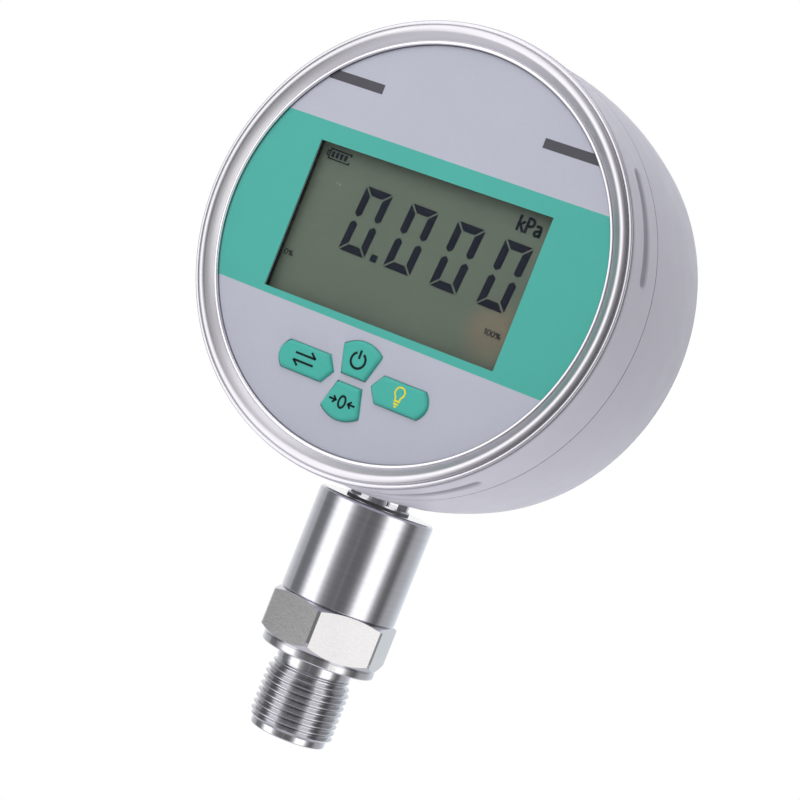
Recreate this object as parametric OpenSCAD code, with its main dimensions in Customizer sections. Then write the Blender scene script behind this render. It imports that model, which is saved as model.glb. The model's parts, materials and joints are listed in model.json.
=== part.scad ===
// Digital pressure gauge on a lower male connection.
// The stem axis is Z, the face looks towards -Y, and the lowest thread crest ends at Z = 0.
// Depths are measured backwards from the front of the bezel lip.

/* [Case] */
// Radius of the housing at its front edge
case_front_r = 51.2; // [50:0.1:54]
// How far the front housing widens towards the joint
case_taper = 0.45; // [0:0.05:0.8]
// How far the rear housing bulges at its widest place
case_bulge = 1.3; // [0.9:0.1:3]
// How far the back of the housing draws in
case_draw = 0.4; // [0:0.1:1.5]
// Depth of the widest place
crown_d = 28; // [24:0.5:32]
// Depth of the back of the case
case_d = 47.5; // [46.5:0.5:60]
// Wall of both housings at the front edge
case_wall = 2.4; // [2:0.1:3]
// Thickness of the back wall
back_wall = 3.2; // [2.8:0.1:4]
// Rounding of the rear edge
rear_edge_r = 3; // [1:0.1:4]
// Depth of the joint between the housings
seam_d = 14; // [12.5:0.5:15]
// Width of the joint line
seam_gap = 0.15; // [0.05:0.05:0.4]
// Length of each long groove, as an angle
groove_angle = 25; // [10:1:40]
// Angle of the first groove's middle from the right-hand side
groove_start = 25.5; // [0:0.5:45]
// Width of the long grooves
groove_w = 4; // [2:0.1:4.4]
// Depth cut by the long grooves
groove_cut = 0.8; // [0.3:0.1:1.1]
// Depth of the middle of the grooves
groove_d = 7.2; // [6:0.1:9]

/* [Bezel] */
// Width of the bezel from its edge to the face that shows
bezel_w = 5.1; // [4.8:0.1:6.5]
// Step between the bezel and the edge of the housing
bezel_step = 0.3; // [0.2:0.05:0.8]
// How far the front bead stands before the lip
bead_h = 1.95; // [1:0.05:2.5]
// Section radius of the rolled lip
lip_bead_r = 0.42; // [0.3:0.01:0.5]
// Section radius of the front bead
front_bead_r = 0.7; // [0.5:0.01:0.8]
// Section radius of the edge bead
edge_bead_r = 0.8; // [0.6:0.01:0.9]
// Depth of the housing edge that the bezel sits on
bezel_seat_d = 0.3; // [0.1:0.05:0.5]
// Length of the skirt that enters the housing
skirt_len = 4.2; // [2.8:0.1:4.4]
// Thickness of the skirt
skirt_w = 0.8; // [0.5:0.05:1]

/* [Face] */
// Depth of the printed surface
label_d = 0.8; // [0.6:0.05:1.2]
// Thickness of the printed label
label_w = 0.25; // [0.15:0.05:0.4]
// Thickness of the face plate
plate_w = 2; // [1.6:0.1:2.4]
// Width of the display opening
window_w = 58.9; // [50:0.1:60]
// Height of the display opening
window_h = 34.2; // [28:0.1:34.6]
// Margin of the window pane behind the opening
pane_margin = 1; // [0.8:0.1:1.2]
// Thickness of the window pane
pane_w = 1.3; // [0.8:0.1:1.4]
// Sideways place of the display, as photographed
window_x = -0.4; // [-1:0.1:1]

/* [Display] */
// Height of the figures
digit_h = 15; // [10:0.1:16]
// Width of one figure
digit_w = 6.85; // [5:0.05:7.2]
// Distance from figure to figure
digit_pitch = 11.9; // [9:0.1:12]
// Width of a stroke
stroke_w = 1.75; // [1:0.05:2]
// Gap between strokes
stroke_gap = 0.32; // [0.2:0.02:0.5]
// Turn of the display behind its window, as photographed
display_turn = 1.4; // [0:0.1:1.5]
// Thickness of the display glass
glass_w = 2; // [1.5:0.1:2.2]
// Thickness of the light panel behind the glass
light_w = 2; // [1.5:0.1:2.2]

/* [Keys] */
// How far the keys stand before the printed surface
key_stand = 0.8; // [0.4:0.05:1.2]
// Travel of a key
key_travel = 0.5; // [0.2:0.05:0.6]
// Clearance round a key in its opening
key_gap = 0.2; // [0.15:0.01:0.3]
// Sideways place of the key cross, as photographed
key_cross_x = -0.8; // [-1.5:0.1:1.5]
// Distance from the display opening to the upper key
key_clear = 3.9; // [3.6:0.1:5]
// How far the side keys sit above the middle of the cross
side_key_rise = 0.5; // [0:0.1:0.8]
// Length of a side key
side_key_w = 14.2; // [12:0.1:14.6]
// Height of a side key
side_key_h = 6.1; // [5:0.1:6.2]
// Length of the point of a side key
side_key_point = 2.1; // [1.5:0.1:3]
// Distance from the cross to the point of a side key
side_key_in = 4.9; // [4.8:0.1:6]
// Bulge of the outer end of a side key
side_key_bulge = 1.1; // [0.6:0.1:1.5]
// Height of the upper and lower keys
end_key_h = 7.8; // [6.5:0.1:7.9]
// Width of the upper and lower keys where they are widest
end_key_w = 9.8; // [8:0.1:10.4]
// Width of the upper and lower keys where they are narrowest
end_key_narrow_w = 6; // [5:0.1:6.4]
// Distance from the cross to the upper and lower keys
end_key_in = 1; // [0.9:0.05:1.2]
// Bulge of the outer end of the upper and lower keys
end_key_bulge = 1.75; // [0.6:0.05:2]

/* [Board] */
// Gap between the circuit board and the screw bosses
board_gap = 0.4; // [0.2:0.1:1]
// Thickness of the circuit board
board_w = 1.6; // [1:0.1:1.8]
// Depth of the front of the board
board_d = 8.4; // [8.2:0.1:9]
// Side of a switch under a key
switch_side = 6; // [4.5:0.1:6.2]
// Height of a switch body
switch_h = 2; // [1.8:0.1:2.2]

/* [Battery] */
// Radius of a cell
cell_r = 5.25; // [4:0.05:5.5]
// Length of a cell
cell_len = 44.5; // [35:0.5:45]
// Clearance round a cell
cell_gap = 0.15; // [0.1:0.05:0.3]
// How far the battery door runs past the cells at each side
door_side = 9.1; // [8.5:0.1:10]
// Thickness of the battery door
door_t = 1.5; // [1:0.1:1.6]
// Clearance round the battery door
door_gap = 0.25; // [0.1:0.05:0.5]

/* [Stem] */
// Distance of the stem axis before the back of the case
stem_fore = 14; // [13.8:0.1:16]
// Radius of the sensor housing
sensor_r = 13.75; // [13:0.05:15]
// Height of the sensor housing
sensor_h = 24.6; // [23:0.1:25.4]
// Width of the hexagon across its flats
hex_af = 27; // [24:0.5:30]
// Height of the hexagon
hex_h = 11.05; // [9:0.05:12]
// Radius of the sealing collar
collar_r = 13.5; // [12:0.1:14]
// Thickness of the sealing collar
collar_h = 2; // [1.2:0.1:2.6]
// Radius of the thread over its crests
thread_r = 10; // [10:0.5:11]
// Pitch of the thread
thread_pitch = 1.5; // [1.25:0.05:1.6]
// Number of thread crests
thread_turns = 9; // [7:1:9]
// Radius of the relief above the thread
relief_r = 8.85; // [8.2:0.05:9]
// Height of the underside of the collar above the thread's end
collar_z = 15.75; // [15:0.05:17]
// Radius of the plain end
pilot_r = 8.95; // [8:0.05:9]
// Length of the plain end
pilot_h = 2.9; // [1.5:0.1:4]
// Radius of the pressure port
port_r = 2; // [1:0.1:3]
// Length of the straight pressure port
port_len = 24.7; // [22:0.1:25]

/* [Neck] */
// Radius of the neck
neck_r = 7; // [6.8:0.1:7.6]
// Radius of the ring at the foot of the neck
neck_ring_r = 7.5; // [7.2:0.1:9]
// Height of the ring
neck_ring_h = 0.4; // [0.3:0.1:0.8]
// Thickness of the seal under the ring
neck_seal_h = 0.5; // [0.3:0.1:0.8]
// Gap between the sensor housing and the spot face of the case
neck_gap = 3.03; // [2.6:0.01:4]
// Depth of the round spot face under the case
spot_cut = 1.3; // [0.8:0.05:1.5]
// Radius of the spot face
spot_r = 13.9; // [12:0.1:13.9]
// Width of a leg between two openings
leg_w = 4.2; // [3:0.1:5]
// Radial thickness of a leg
leg_t = 2; // [1.5:0.1:3]
// Turn of the legs about the stem
neck_turn = 21.6; // [0:0.1:45]
// Radius of the threaded upper part
neck_top_r = 6; // [5.6:0.1:6.3]
// Radius of the tube that guards the lead
lead_tube_r = 2.3; // [2:0.1:2.6]
// Radius of the lead
lead_r = 1.3; // [0.8:0.1:1.4]

/* [Hidden] */

// Overrun of every cut
cut = 0.5;
// Clearance between fitted parts of one body
fit = 0.05;
// Clearance between parts that are put together loosely
play = 0.15;
// Fineness of turned parts
$fn = 96;

// Housing
case_seam_r = case_front_r + case_taper;
case_mid_r = case_front_r + case_bulge;
case_rear_r = case_front_r - case_draw;
stem_back = case_d - stem_fore;
inner_r = case_front_r - case_wall;
bezel_r = case_front_r - bezel_step;
front_edge_r = 0.4;
crown_steps = 14;
edge_steps = 6;
spigot_len = 3.6;
spigot_w = 1.85;
spigot_root = 2.2;
seal_groove_w = 1.4;
seal_groove_cut = 0.8;
seal_r = 0.45;
ledge_reach = 5;
ledge_r = inner_r - ledge_reach;
ledge_w = 2.7;
case_screw_inset = 5.8;
case_screw_ring_r = inner_r - case_screw_inset;
case_boss_r = 3.3;
case_screw_r = 1.5;
case_screw_head_r = 2.75;
case_screw_head_h = 1.8;
case_screw_angles = [40, 140, 220, 320];
case_rib_w = 2.4;
inner_back_d = case_d - back_wall;

// Bezel
face_r = bezel_r - bezel_w;
lip_foot = 0.2;
front_bead_in = 2;
edge_bead_drop = 0.05;
bezel_foot_in = 0.2;

// Face
plate_d = label_d + label_w;
plate_r = inner_r - play - skirt_w - play;
plate_back_d = plate_d + plate_w;
label_r = face_r - play;
gasket_w = 0.6;
gasket_in_r = ledge_r + gasket_w;
ledge_d = plate_back_d + gasket_w;
ledge_back_d = ledge_d + ledge_w;
pane_recess = 0.45;
pane_d = label_d + pane_recess;
post_r = 2.6;
post_x = 26;
post_clear = 9.9;
post_z = window_h / 2 + post_clear;
board_screw_r = 1;
board_screw_head_r = 1.9;
board_screw_head_h = 1.3;
board_screw_bite = 3.5;

// Display
glass_lap = 0.5;
glass_d = plate_back_d;
segment_w = 0.1;
glass_full_w = window_w + 2 * (pane_margin + glass_lap);
glass_full_h = window_h + 2 * (pane_margin + glass_lap);
light_d = glass_d + glass_w;
strip_h = 2;
holder_wall = 0.9;
light_h = glass_full_h - 2 * strip_h - 2 * play;
digits = 4;
digit_left = -16.6;
digit_low = -4.45;
digit_slant_share = 0.0485;
middle_gap = 0.5;
middle_point = 0.65;
point_side = 1.6;
point_x = -8.3;
battery_sign_x = -27.95;
battery_sign_z = 13.15;
battery_sign_w = 5.7;
battery_sign_h = 2.5;
battery_sign_line = 0.3;
battery_sign_tip = 0.6;
battery_sign_bars = 4;

// Board
board_r = case_screw_ring_r - case_boss_r - board_gap;

// Keys
key_cross_z = window_h / 2 + key_clear + end_key_h + end_key_in;
key_d = label_d - key_stand;
key_flange_d = plate_back_d;
key_flange_w = 0.8;
key_flange_rim = 0.6;
key_edge = 0.45;
key_edge_top = 0.15;
key_corner = 0.6;
key_boss_r = 2;
bulge_steps = 8;
plunger_r = 1.6;
plunger_stop = 0.2;
plunger_stand = key_travel + plunger_stop;
plunger_foot = 1;
plunger_gap = 0.12;
switch_top_d = board_d - switch_h;
plunger_d = switch_top_d - plunger_stand;
side_key_mid = side_key_in + side_key_w / 2;
end_key_mid = end_key_in + end_key_h / 2;

// Battery
door_recess = 1.8;
seal_w = door_recess - door_t;
tray_wall = 1.2;
tray_floor = 1.2;
contact_w = 0.3;
spring_len = 2.7;
spring_tip_r = 2.4;
spring_foot_r = 3.6;
cells = 3;
cell_rib = 0.7;
cell_pitch = 2 * (cell_r + cell_gap) + cell_rib;
battery_z = 2;
tray_in_w = cell_len + spring_len + 2 * contact_w;
tray_in_h = cells * cell_pitch;
cell_back_gap = 0.6;
cell_axis_d = inner_back_d - cell_back_gap - cell_r;
tray_floor_d = cell_axis_d - cell_r - cell_gap;
cell_cap_r = 1.9;
cell_cap_h = 0.8;
contact_h = 7;
door_over = 3.5;
door_w = tray_in_w + 2 * door_side;
door_h = tray_in_h + 2 * door_over;
door_screw_inset = 3.5;
door_screw_x = door_w / 2 - door_screw_inset;
door_screw_r = 1.25;
door_screw_head_r = 2.4;
door_screw_len = 7;
door_boss_r = 2.9;
door_boss_len = 7;
door_edge_r = 2;
seal_band = 1.6;

// Stem, from the thread upwards
crest_share = 0.125;
thread_cut = 0.92;
crest_w = thread_pitch * crest_share;
thread_flank = thread_pitch * 0.4;
thread_top = (thread_turns - 1) * thread_pitch + crest_w;
pilot_edge = 0.35;
hex_z = collar_z + collar_h;
hex_top = hex_z + hex_h;
hex_corner_r = hex_af / sqrt(3);
hex_chamfer_top = 1.25;
hex_chamfer_low = 1.75;
hex_turn = 43.6;
sensor_wall = 3.3;
sensor_edge = 0.4;
joint_chamfer = 0.3;
spigot_r = sensor_r - sensor_wall;
stem_spigot_h = 5.7;
stem_spigot_wall = 1.75;
cell_hole_r = spigot_r - fit - stem_spigot_wall;
sensor_top = hex_top + sensor_h;
sensor_top_w = 2.6;
port_chamber = 0.8;
sensor_cell_z = -pilot_h + port_len + port_chamber;
sensor_cell_h = 7;
sensor_cell_r = cell_hole_r - fit;
cell_groove_w = 1.6;
cell_groove_cut = 1.05;
cell_groove_z = 2;
o_ring_r = 0.5;
ring_h = 3;
ring_hole_r = 5.5;
ring_slot_w = 1.6;
pin_r = 0.25;
pin_ring_r = 4.2;
pins = 5;
pin_stand = 0.4;
board_rise = 6.7;
board_seat_z = hex_top + stem_spigot_h + board_rise;
sensor_board_w = 1.2;
sensor_board_r = spigot_r - fit;
board_seat = 1.4;

// Neck
case_axis_h = sensor_top + neck_gap - spot_cut + crown(stem_back);
neck_foot_step = 0.5;
neck_foot_r = neck_top_r - neck_foot_step;
neck_bite = 0.9;
neck_head_h = 1;
neck_shoulder_z = sensor_top + neck_gap + neck_bite;
neck_open_h = neck_gap + neck_bite - neck_head_h - neck_ring_h - neck_seal_h;
washer_w = 0.5;
neck_bore_r = lead_tube_r + fit;
neck_hole_r = neck_r + play;
pad_r = 11;
pad_t = 3.5;
pad_z = neck_shoulder_z + washer_w + pad_t;
nut_h = 4;
nut_af = 19;
neck_stand = 0.6;
neck_top_z = pad_z + nut_h + neck_stand;
lead_tube_stand = 1;
lead_tube_top = neck_top_z + lead_tube_stand;
lead_tube_wall = 0.8;
lead_bend_r = 5;
lead_rise = 9;
lead_run_z = neck_top_z + lead_rise;
plug_w = 8;
plug_h = 5;
plug_len = 4.5;
socket_len = 4;
socket_rim = 0.7;
plug_stand = 1;
plug_d = board_d + board_w + plug_stand;
lead_end_d = plug_d + plug_len;

// Radius of the housing at a depth: a plain taper in front, one smooth curve behind the joint
function crown(d) = d <= seam_d ? case_front_r + case_taper * d / seam_d :
    case_seam_r * (d - crown_d) * (d - case_d) / ((seam_d - crown_d) * (seam_d - case_d))
    + case_mid_r * (d - seam_d) * (d - case_d) / ((crown_d - seam_d) * (crown_d - case_d))
    + case_rear_r * (d - seam_d) * (d - crown_d) / ((case_d - seam_d) * (case_d - crown_d));

// Points of an arc: centre, radius, first and last angle
function arc(c, r, a0, a1, n) = [for (i = [0:n]) let (a = a0 + (a1 - a0) * i / n) [c[0] + r * cos(a), c[1] + r * sin(a)]];

// Points of the crowned wall between two depths
function wall_line(d0, d1) = [for (i = [0:crown_steps]) let (d = d0 + (d1 - d0) * i / crown_steps) [crown(d), d]];

// Moves a shape from the axis of the case to its place over the stem
module at_case() {
    translate([0, -stem_back, case_axis_h]) children();
}

// Turns an outline of radius and depth about the axis of the case
module turn_case(fineness = 180) {
    at_case() rotate([-90, 0, 0]) rotate_extrude($fn = fineness) children();
}

// A plate seen from the front, between two depths
module plate(d0, d1) {
    at_case() translate([0, d1, 0]) rotate([90, 0, 0]) linear_extrude(d1 - d0) children();
}

// A round bar along the depth
module bar(x, z, r, d0, d1) {
    at_case() translate([x, d0, z]) rotate([-90, 0, 0]) cylinder(r = r, h = d1 - d0, $fn = 48);
}

// Repeats its children at the case screws
module at_case_screws() {
    for (a = case_screw_angles)
        at_case() rotate([0, -a, 0]) translate([case_screw_ring_r, 0, 0]) children();
}

// A round bar along the depth at every case screw
module screw_bars(r, d0, d1) {
    at_case_screws() translate([0, d0, 0]) rotate([-90, 0, 0]) cylinder(r = r, h = d1 - d0, $fn = 40);
}

// Webs from the screw bosses to the wall
module screw_webs(d0, d1) {
    web = inner_r - case_screw_ring_r + fit;
    at_case_screws() translate([0, d0, -case_rib_w / 2]) cube([web, d1 - d0, case_rib_w]);
}

// Long scooped grooves round the front housing, with ends as a ball cutter leaves them
module groove_cuts() {
    ball_r = (groove_w * groove_w / 4 + groove_cut * groove_cut) / (2 * groove_cut);
    ball_ring_r = crown(groove_d) - groove_cut + ball_r;
    for (k = [0:3])
        at_case() rotate([0, -groove_start - 90 * k, 0]) {
            rotate([0, -groove_angle / 2, 0]) rotate([-90, 0, 0])
                rotate_extrude(angle = groove_angle, $fn = 180)
                    translate([ball_ring_r, groove_d]) circle(r = ball_r, $fn = 48);
            for (s = [-1, 1])
                rotate([0, s * groove_angle / 2, 0]) translate([ball_ring_r, groove_d, 0])
                    sphere(r = ball_r, $fn = 48);
        }
}

module front_housing() color([0.74, 0.74, 0.78]) difference() {
    union() {
        turn_case() polygon(concat(
            [[inner_r, bezel_seat_d]],
            arc([crown(bezel_seat_d) - front_edge_r, bezel_seat_d + front_edge_r], front_edge_r, -90, 0, edge_steps),
            wall_line(bezel_seat_d + 2 * front_edge_r, seam_d),
            [[inner_r, seam_d],
             [inner_r, ledge_back_d],
             [ledge_r, ledge_back_d],
             [ledge_r, ledge_d],
             [plate_r + play, ledge_d],
             [plate_r + play, bezel_seat_d + skirt_len + play],
             [inner_r, bezel_seat_d + skirt_len + play]]));
        screw_bars(case_boss_r, ledge_back_d - ledge_w / 2, seam_d);
        screw_webs(ledge_back_d - ledge_w / 2, seam_d - spigot_len - play);
    }
    groove_cuts();
    screw_bars(case_screw_r + fit, ledge_back_d + ledge_w / 2, seam_d + cut);
    // Room for the spigot of the rear housing beside the bosses
    turn_case() translate([inner_r - spigot_w - 2 * play, seam_d - spigot_len - play])
        square([spigot_w + 2 * play, spigot_len + play + cut]);
}

module rear_housing() color([0.74, 0.74, 0.78]) difference() {
    union() {
        turn_case() polygon(concat(
            [[0, case_d], [0, inner_back_d], [inner_r, inner_back_d],
             [inner_r, seam_d + spigot_root * 1.6],
             [inner_r - spigot_w - play, seam_d + spigot_root],
             [inner_r - spigot_w - play, seam_d - spigot_len],
             [inner_r - play, seam_d - spigot_len],
             [inner_r - play, seam_d - spigot_len / 2 - seal_groove_w / 2],
             [inner_r - play - seal_groove_cut, seam_d - spigot_len / 2 - seal_groove_w / 2],
             [inner_r - play - seal_groove_cut, seam_d - spigot_len / 2 + seal_groove_w / 2],
             [inner_r - play, seam_d - spigot_len / 2 + seal_groove_w / 2],
             [inner_r - play, seam_d + seam_gap]],
            wall_line(seam_d + seam_gap, case_d - rear_edge_r),
            arc([crown(case_d - rear_edge_r) - rear_edge_r, case_d - rear_edge_r], rear_edge_r, 0, 90,
                edge_steps * 2)));
        screw_bars(case_boss_r, seam_d + play, inner_back_d + back_wall / 2);
        screw_webs(seam_d + spigot_root * 2, inner_back_d + back_wall / 2);
        for (s = [-1, 1])
            bar(s * door_screw_x, battery_z, door_boss_r, inner_back_d - door_boss_len, inner_back_d + back_wall / 3);
        // Flat pad that the neck nut clamps
        intersection() {
            translate([0, 0, pad_z - pad_r]) cylinder(r = pad_r, h = pad_r);
            turn_case() translate([0, seam_d + spigot_root * 2])
                square([inner_r + case_wall / 2, inner_back_d + back_wall / 2 - seam_d - spigot_root * 2]);
        }
    }
    // Holes for the case screws, with their heads let in
    screw_bars(case_screw_r + play, seam_d - cut, case_d);
    screw_bars(case_screw_head_r + play, inner_back_d, case_d + cut);
    // Battery opening and the recess of its door
    plate(inner_back_d - cut, case_d + cut) translate([0, battery_z]) square([tray_in_w, tray_in_h], center = true);
    plate(case_d - door_recess, case_d + cut) translate([0, battery_z]) door_outline(door_gap);
    for (s = [-1, 1])
        bar(s * door_screw_x, battery_z, door_screw_r + fit, case_d - door_t - door_screw_len, case_d);
    // Spot face and stepped hole for the neck
    translate([0, 0, sensor_top]) cylinder(r = spot_r, h = neck_gap);
    translate([0, 0, pad_z - pad_r - 2 * cut]) cylinder(r = neck_hole_r, h = neck_shoulder_z + washer_w - pad_z + pad_r + 2 * cut);
    translate([0, 0, pad_z - pad_r]) cylinder(r = neck_top_r + play, h = pad_r + cut);
}

module bezel_ring() color([0.80, 0.80, 0.82]) turn_case(240) {
    slope_foot = face_r + 2 * lip_bead_r + lip_foot;
    front_c = [bezel_r - front_bead_in, front_bead_r - bead_h];
    edge_c = [bezel_r - edge_bead_r, edge_bead_drop - edge_bead_r];
    polygon(concat(
        [[face_r, plate_d]],
        arc([face_r + lip_bead_r, lip_bead_r], lip_bead_r, 180, 330, 8),
        [[slope_foot, lip_bead_r * 0.12]],
        arc(front_c, front_bead_r, 215, 310, 8),
        [[edge_c[0] - edge_bead_r * 0.6, edge_c[1] - edge_bead_r * 0.88]],
        arc(edge_c, edge_bead_r, 235, 380, 10),
        [[bezel_r - bezel_foot_in, bezel_seat_d],
         [plate_r + play + skirt_w, bezel_seat_d],
         [plate_r + play + skirt_w, bezel_seat_d + skirt_len],
         [plate_r + play, bezel_seat_d + skirt_len],
         [plate_r + play, plate_d]]));
}

// Half of a bulged end, from one edge to the other
function bulge(half, h) = [for (i = [0:bulge_steps]) let (t = 1 - 2 * i / bulge_steps) [h * (1 - t * t), half * t]];

// Outline of a side key that points towards the middle of the cross, grown by g
function side_key_line(g) = let (end = side_key_in + side_key_w - side_key_bulge + g, half = side_key_h / 2 + g)
    concat(
        [[side_key_in - g, 0],
         [side_key_in + side_key_point - g / 2, -half],
         [end - key_corner, -half]],
        [for (p = bulge(half - key_corner, side_key_bulge)) [end + p[0], -p[1]]],
        [[end - key_corner, half],
         [side_key_in + side_key_point - g / 2, half]]);

// Outline of the upper key, narrow towards the middle of the cross, grown by g
function end_key_line(g) = let (end = end_key_in + end_key_h - end_key_bulge + g, half = end_key_w / 2 + g)
    concat(
        [[-end_key_narrow_w / 2 - g, end_key_in - g],
         [end_key_narrow_w / 2 + g, end_key_in - g],
         [half - key_corner / 4, end - key_corner]],
        [for (p = bulge(half - key_corner / 4, end_key_bulge)) [p[1], end + p[0]]],
        [[-half + key_corner / 4, end - key_corner]]);

// The outline of each key about the middle of the cross
module key_outline(which, g) {
    if (which == "left") mirror([1, 0, 0]) translate([0, side_key_rise]) polygon(side_key_line(g));
    if (which == "right") translate([0, side_key_rise]) polygon(side_key_line(g));
    if (which == "top") polygon(end_key_line(g));
    if (which == "bottom") mirror([0, 1, 0]) polygon(end_key_line(g));
}

key_names = ["left", "top", "bottom", "right"];

// Place of a key's middle about the middle of the cross
function key_place(which) =
    which == "left" ? [-side_key_mid, side_key_rise] :
    which == "right" ? [side_key_mid, side_key_rise] :
    which == "top" ? [0, end_key_mid] : [0, -end_key_mid];

// Every key's outline on the face
module key_shape(which, g) {
    translate([key_cross_x, -key_cross_z]) key_outline(which, g);
}

// A round bar behind the middle of a key
module key_bar(which, r, d0, d1) {
    c = key_place(which);
    bar(key_cross_x + c[0], c[1] - key_cross_z, r, d0, d1);
}

// A bevelled key with its retaining flange and the boss that meets the switch
module key(which) color([0.30, 0.72, 0.62]) {
    hull() {
        plate(key_d + key_edge, key_flange_d + key_flange_w / 2) key_shape(which, 0);
        plate(key_d + key_edge_top, key_flange_d) key_shape(which, -key_edge_top);
        plate(key_d, key_flange_d) key_shape(which, -key_edge);
    }
    plate(key_flange_d, key_flange_d + key_flange_w) key_shape(which, key_flange_rim);
    key_bar(which, key_boss_r, key_flange_d + key_flange_w / 2, plunger_d);
}

// A switch body with the hole that its plunger runs in
module switch(which) color([0.12, 0.12, 0.13]) difference() {
    c = key_place(which);
    plate(switch_top_d, board_d)
        translate([key_cross_x + c[0], c[1] - key_cross_z]) square(switch_side, center = true);
    key_bar(which, plunger_r + plunger_gap, switch_top_d - cut,
        switch_top_d + plunger_foot + key_travel + plunger_stop);
}

module plunger(which) color([0.75, 0.60, 0.35])
    key_bar(which, plunger_r, plunger_d, switch_top_d + plunger_foot);

// An oblong about the middle of the display
module display_oblong(w, h, x = 0, z = 0) {
    translate([window_x + x, z]) square([w, h], center = true);
}

module face_plate() color([0.70, 0.70, 0.74]) difference() {
    union() {
        turn_case() translate([0, plate_d]) square([plate_r, plate_w]);
        for (sx = [-1, 1], sz = [-1, 1]) bar(sx * post_x, sz * post_z, post_r, plate_d + plate_w / 2, board_d);
    }
    plate(plate_d - cut, plate_back_d + cut) display_oblong(window_w, window_h);
    plate(pane_d, plate_back_d + cut) display_oblong(window_w + 2 * pane_margin, window_h + 2 * pane_margin);
    for (k = key_names)
        plate(plate_d - cut, plate_back_d + cut) key_shape(k, key_gap);
    for (sx = [-1, 1], sz = [-1, 1])
        bar(sx * post_x, sz * post_z, board_screw_r, board_d - board_screw_bite - play, board_d + cut);
}

module face_label() color([0.72, 0.72, 0.77]) difference() {
    turn_case() translate([0, label_d]) square([label_r, label_w]);
    plate(label_d - cut, plate_d + cut) display_oblong(window_w, window_h);
    for (k = key_names)
        plate(label_d - cut, plate_d + cut) key_shape(k, key_gap);
}

module face_gasket() color([0.10, 0.10, 0.10])
    turn_case() translate([gasket_in_r, plate_back_d]) square([plate_r - gasket_in_r, gasket_w]);

module window_pane() color([0.75, 0.80, 0.76, 0.4])
    plate(pane_d, pane_d + pane_w)
        display_oblong(window_w + 2 * (pane_margin - fit), window_h + 2 * (pane_margin - fit));

module display_glass() color([0.40, 0.45, 0.39])
    plate(glass_d, light_d) display_oblong(glass_full_w, glass_full_h);

// The six lit strokes of a nought, drawn upright from its lower left corner
module nought() {
    end_stroke = [[stroke_gap, 0], [digit_w - stroke_gap, 0],
                  [digit_w - stroke_gap - stroke_w, stroke_w], [stroke_gap + stroke_w, stroke_w]];
    side_top = digit_h / 2 - middle_gap;
    side_stroke = [[0, stroke_gap], [stroke_w, stroke_gap + stroke_w], [stroke_w, side_top - middle_point],
                   [stroke_w / 2, side_top], [0, side_top - middle_point]];
    polygon(end_stroke);
    translate([0, digit_h]) mirror([0, 1]) polygon(end_stroke);
    for (up = [0, 1], right = [0, 1])
        translate([right * digit_w, up * digit_h]) mirror([right, 0]) mirror([0, up]) polygon(side_stroke);
}

// Sign of the cells' charge, open at its flat end
module battery_sign() {
    line = battery_sign_line;
    step = (battery_sign_w - 4 * line) / battery_sign_bars;
    difference() {
        square([battery_sign_w, battery_sign_h]);
        translate([line, line]) square([battery_sign_w - 2 * line, battery_sign_h - 2 * line]);
        translate([battery_sign_w / 2, battery_sign_h / 4]) square([battery_sign_w, battery_sign_h / 2]);
    }
    translate([-battery_sign_tip, battery_sign_h / 4]) difference() {
        square([battery_sign_tip, battery_sign_h / 2]);
        translate([line, line]) square([battery_sign_tip, battery_sign_h / 2 - 2 * line]);
    }
    for (i = [0:battery_sign_bars - 1])
        translate([2.2 * line + i * step, 2 * line]) square([step - 1.4 * line, battery_sign_h - 4 * line]);
}

module display_segments() color([0.06, 0.07, 0.10])
    plate(glass_d - segment_w, glass_d) translate([window_x, 0]) rotate(-display_turn) {
        multmatrix([[1, digit_slant_share, 0, 0], [0, 1, 0, 0], [0, 0, 1, 0], [0, 0, 0, 1]])
            for (i = [0:digits - 1])
                translate([digit_left - digit_low * digit_slant_share + i * digit_pitch, digit_low]) nought();
        translate([point_x, digit_low]) square(point_side);
        translate([battery_sign_x, battery_sign_z]) battery_sign();
    }

module back_light() color([0.90, 0.92, 0.88])
    plate(light_d, light_d + light_w) display_oblong(glass_full_w, light_h);

module display_holder() color([0.15, 0.15, 0.16]) plate(glass_d, board_d) difference() {
    display_oblong(glass_full_w + 2 * (play + holder_wall), glass_full_h + 2 * (play + holder_wall));
    display_oblong(glass_full_w + 2 * play, glass_full_h + 2 * play);
}

module contact_strips() color([0.20, 0.20, 0.22])
    for (s = [-1, 1])
        plate(light_d, board_d) display_oblong(window_w, strip_h, z = s * (glass_full_h / 2 - strip_h / 2));

module circuit_board() color([0.10, 0.35, 0.20]) difference() {
    turn_case(120) translate([0, board_d]) square([board_r, board_w]);
    for (sx = [-1, 1], sz = [-1, 1])
        bar(sx * post_x, sz * post_z, board_screw_r + play, board_d - cut, board_d + board_w + cut);
}

// Chips and other parts on the back of the board: place, size and height in millimetres
board_part_shares = [[-0.45, 0.30, 0.26, 0.26, 0.05], [0.05, 0.38, 0.13, 0.10, 0.04],
                     [0.42, 0.28, 0.13, 0.13, 0.11], [0.45, -0.05, 0.10, 0.16, 0.04],
                     [-0.55, -0.15, 0.16, 0.08, 0.09], [-0.15, 0.05, 0.10, 0.10, 0.03],
                     [0.18, -0.02, 0.06, 0.12, 0.03], [-0.30, -0.42, 0.12, 0.09, 0.05]];

module board_parts() color([0.08, 0.08, 0.09])
    for (p = board_part_shares)
        plate(board_d + board_w, board_d + board_w + p[4] * board_r)
            translate([p[0] * board_r, p[1] * board_r]) square([p[2] * board_r, p[3] * board_r], center = true);

module board_screws() color([0.70, 0.70, 0.72])
    for (sx = [-1, 1], sz = [-1, 1]) {
        bar(sx * post_x, sz * post_z, board_screw_r - fit, board_d - board_screw_bite, board_d + board_w + fit);
        bar(sx * post_x, sz * post_z, board_screw_head_r, board_d + board_w, board_d + board_w + board_screw_head_h);
    }

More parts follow.
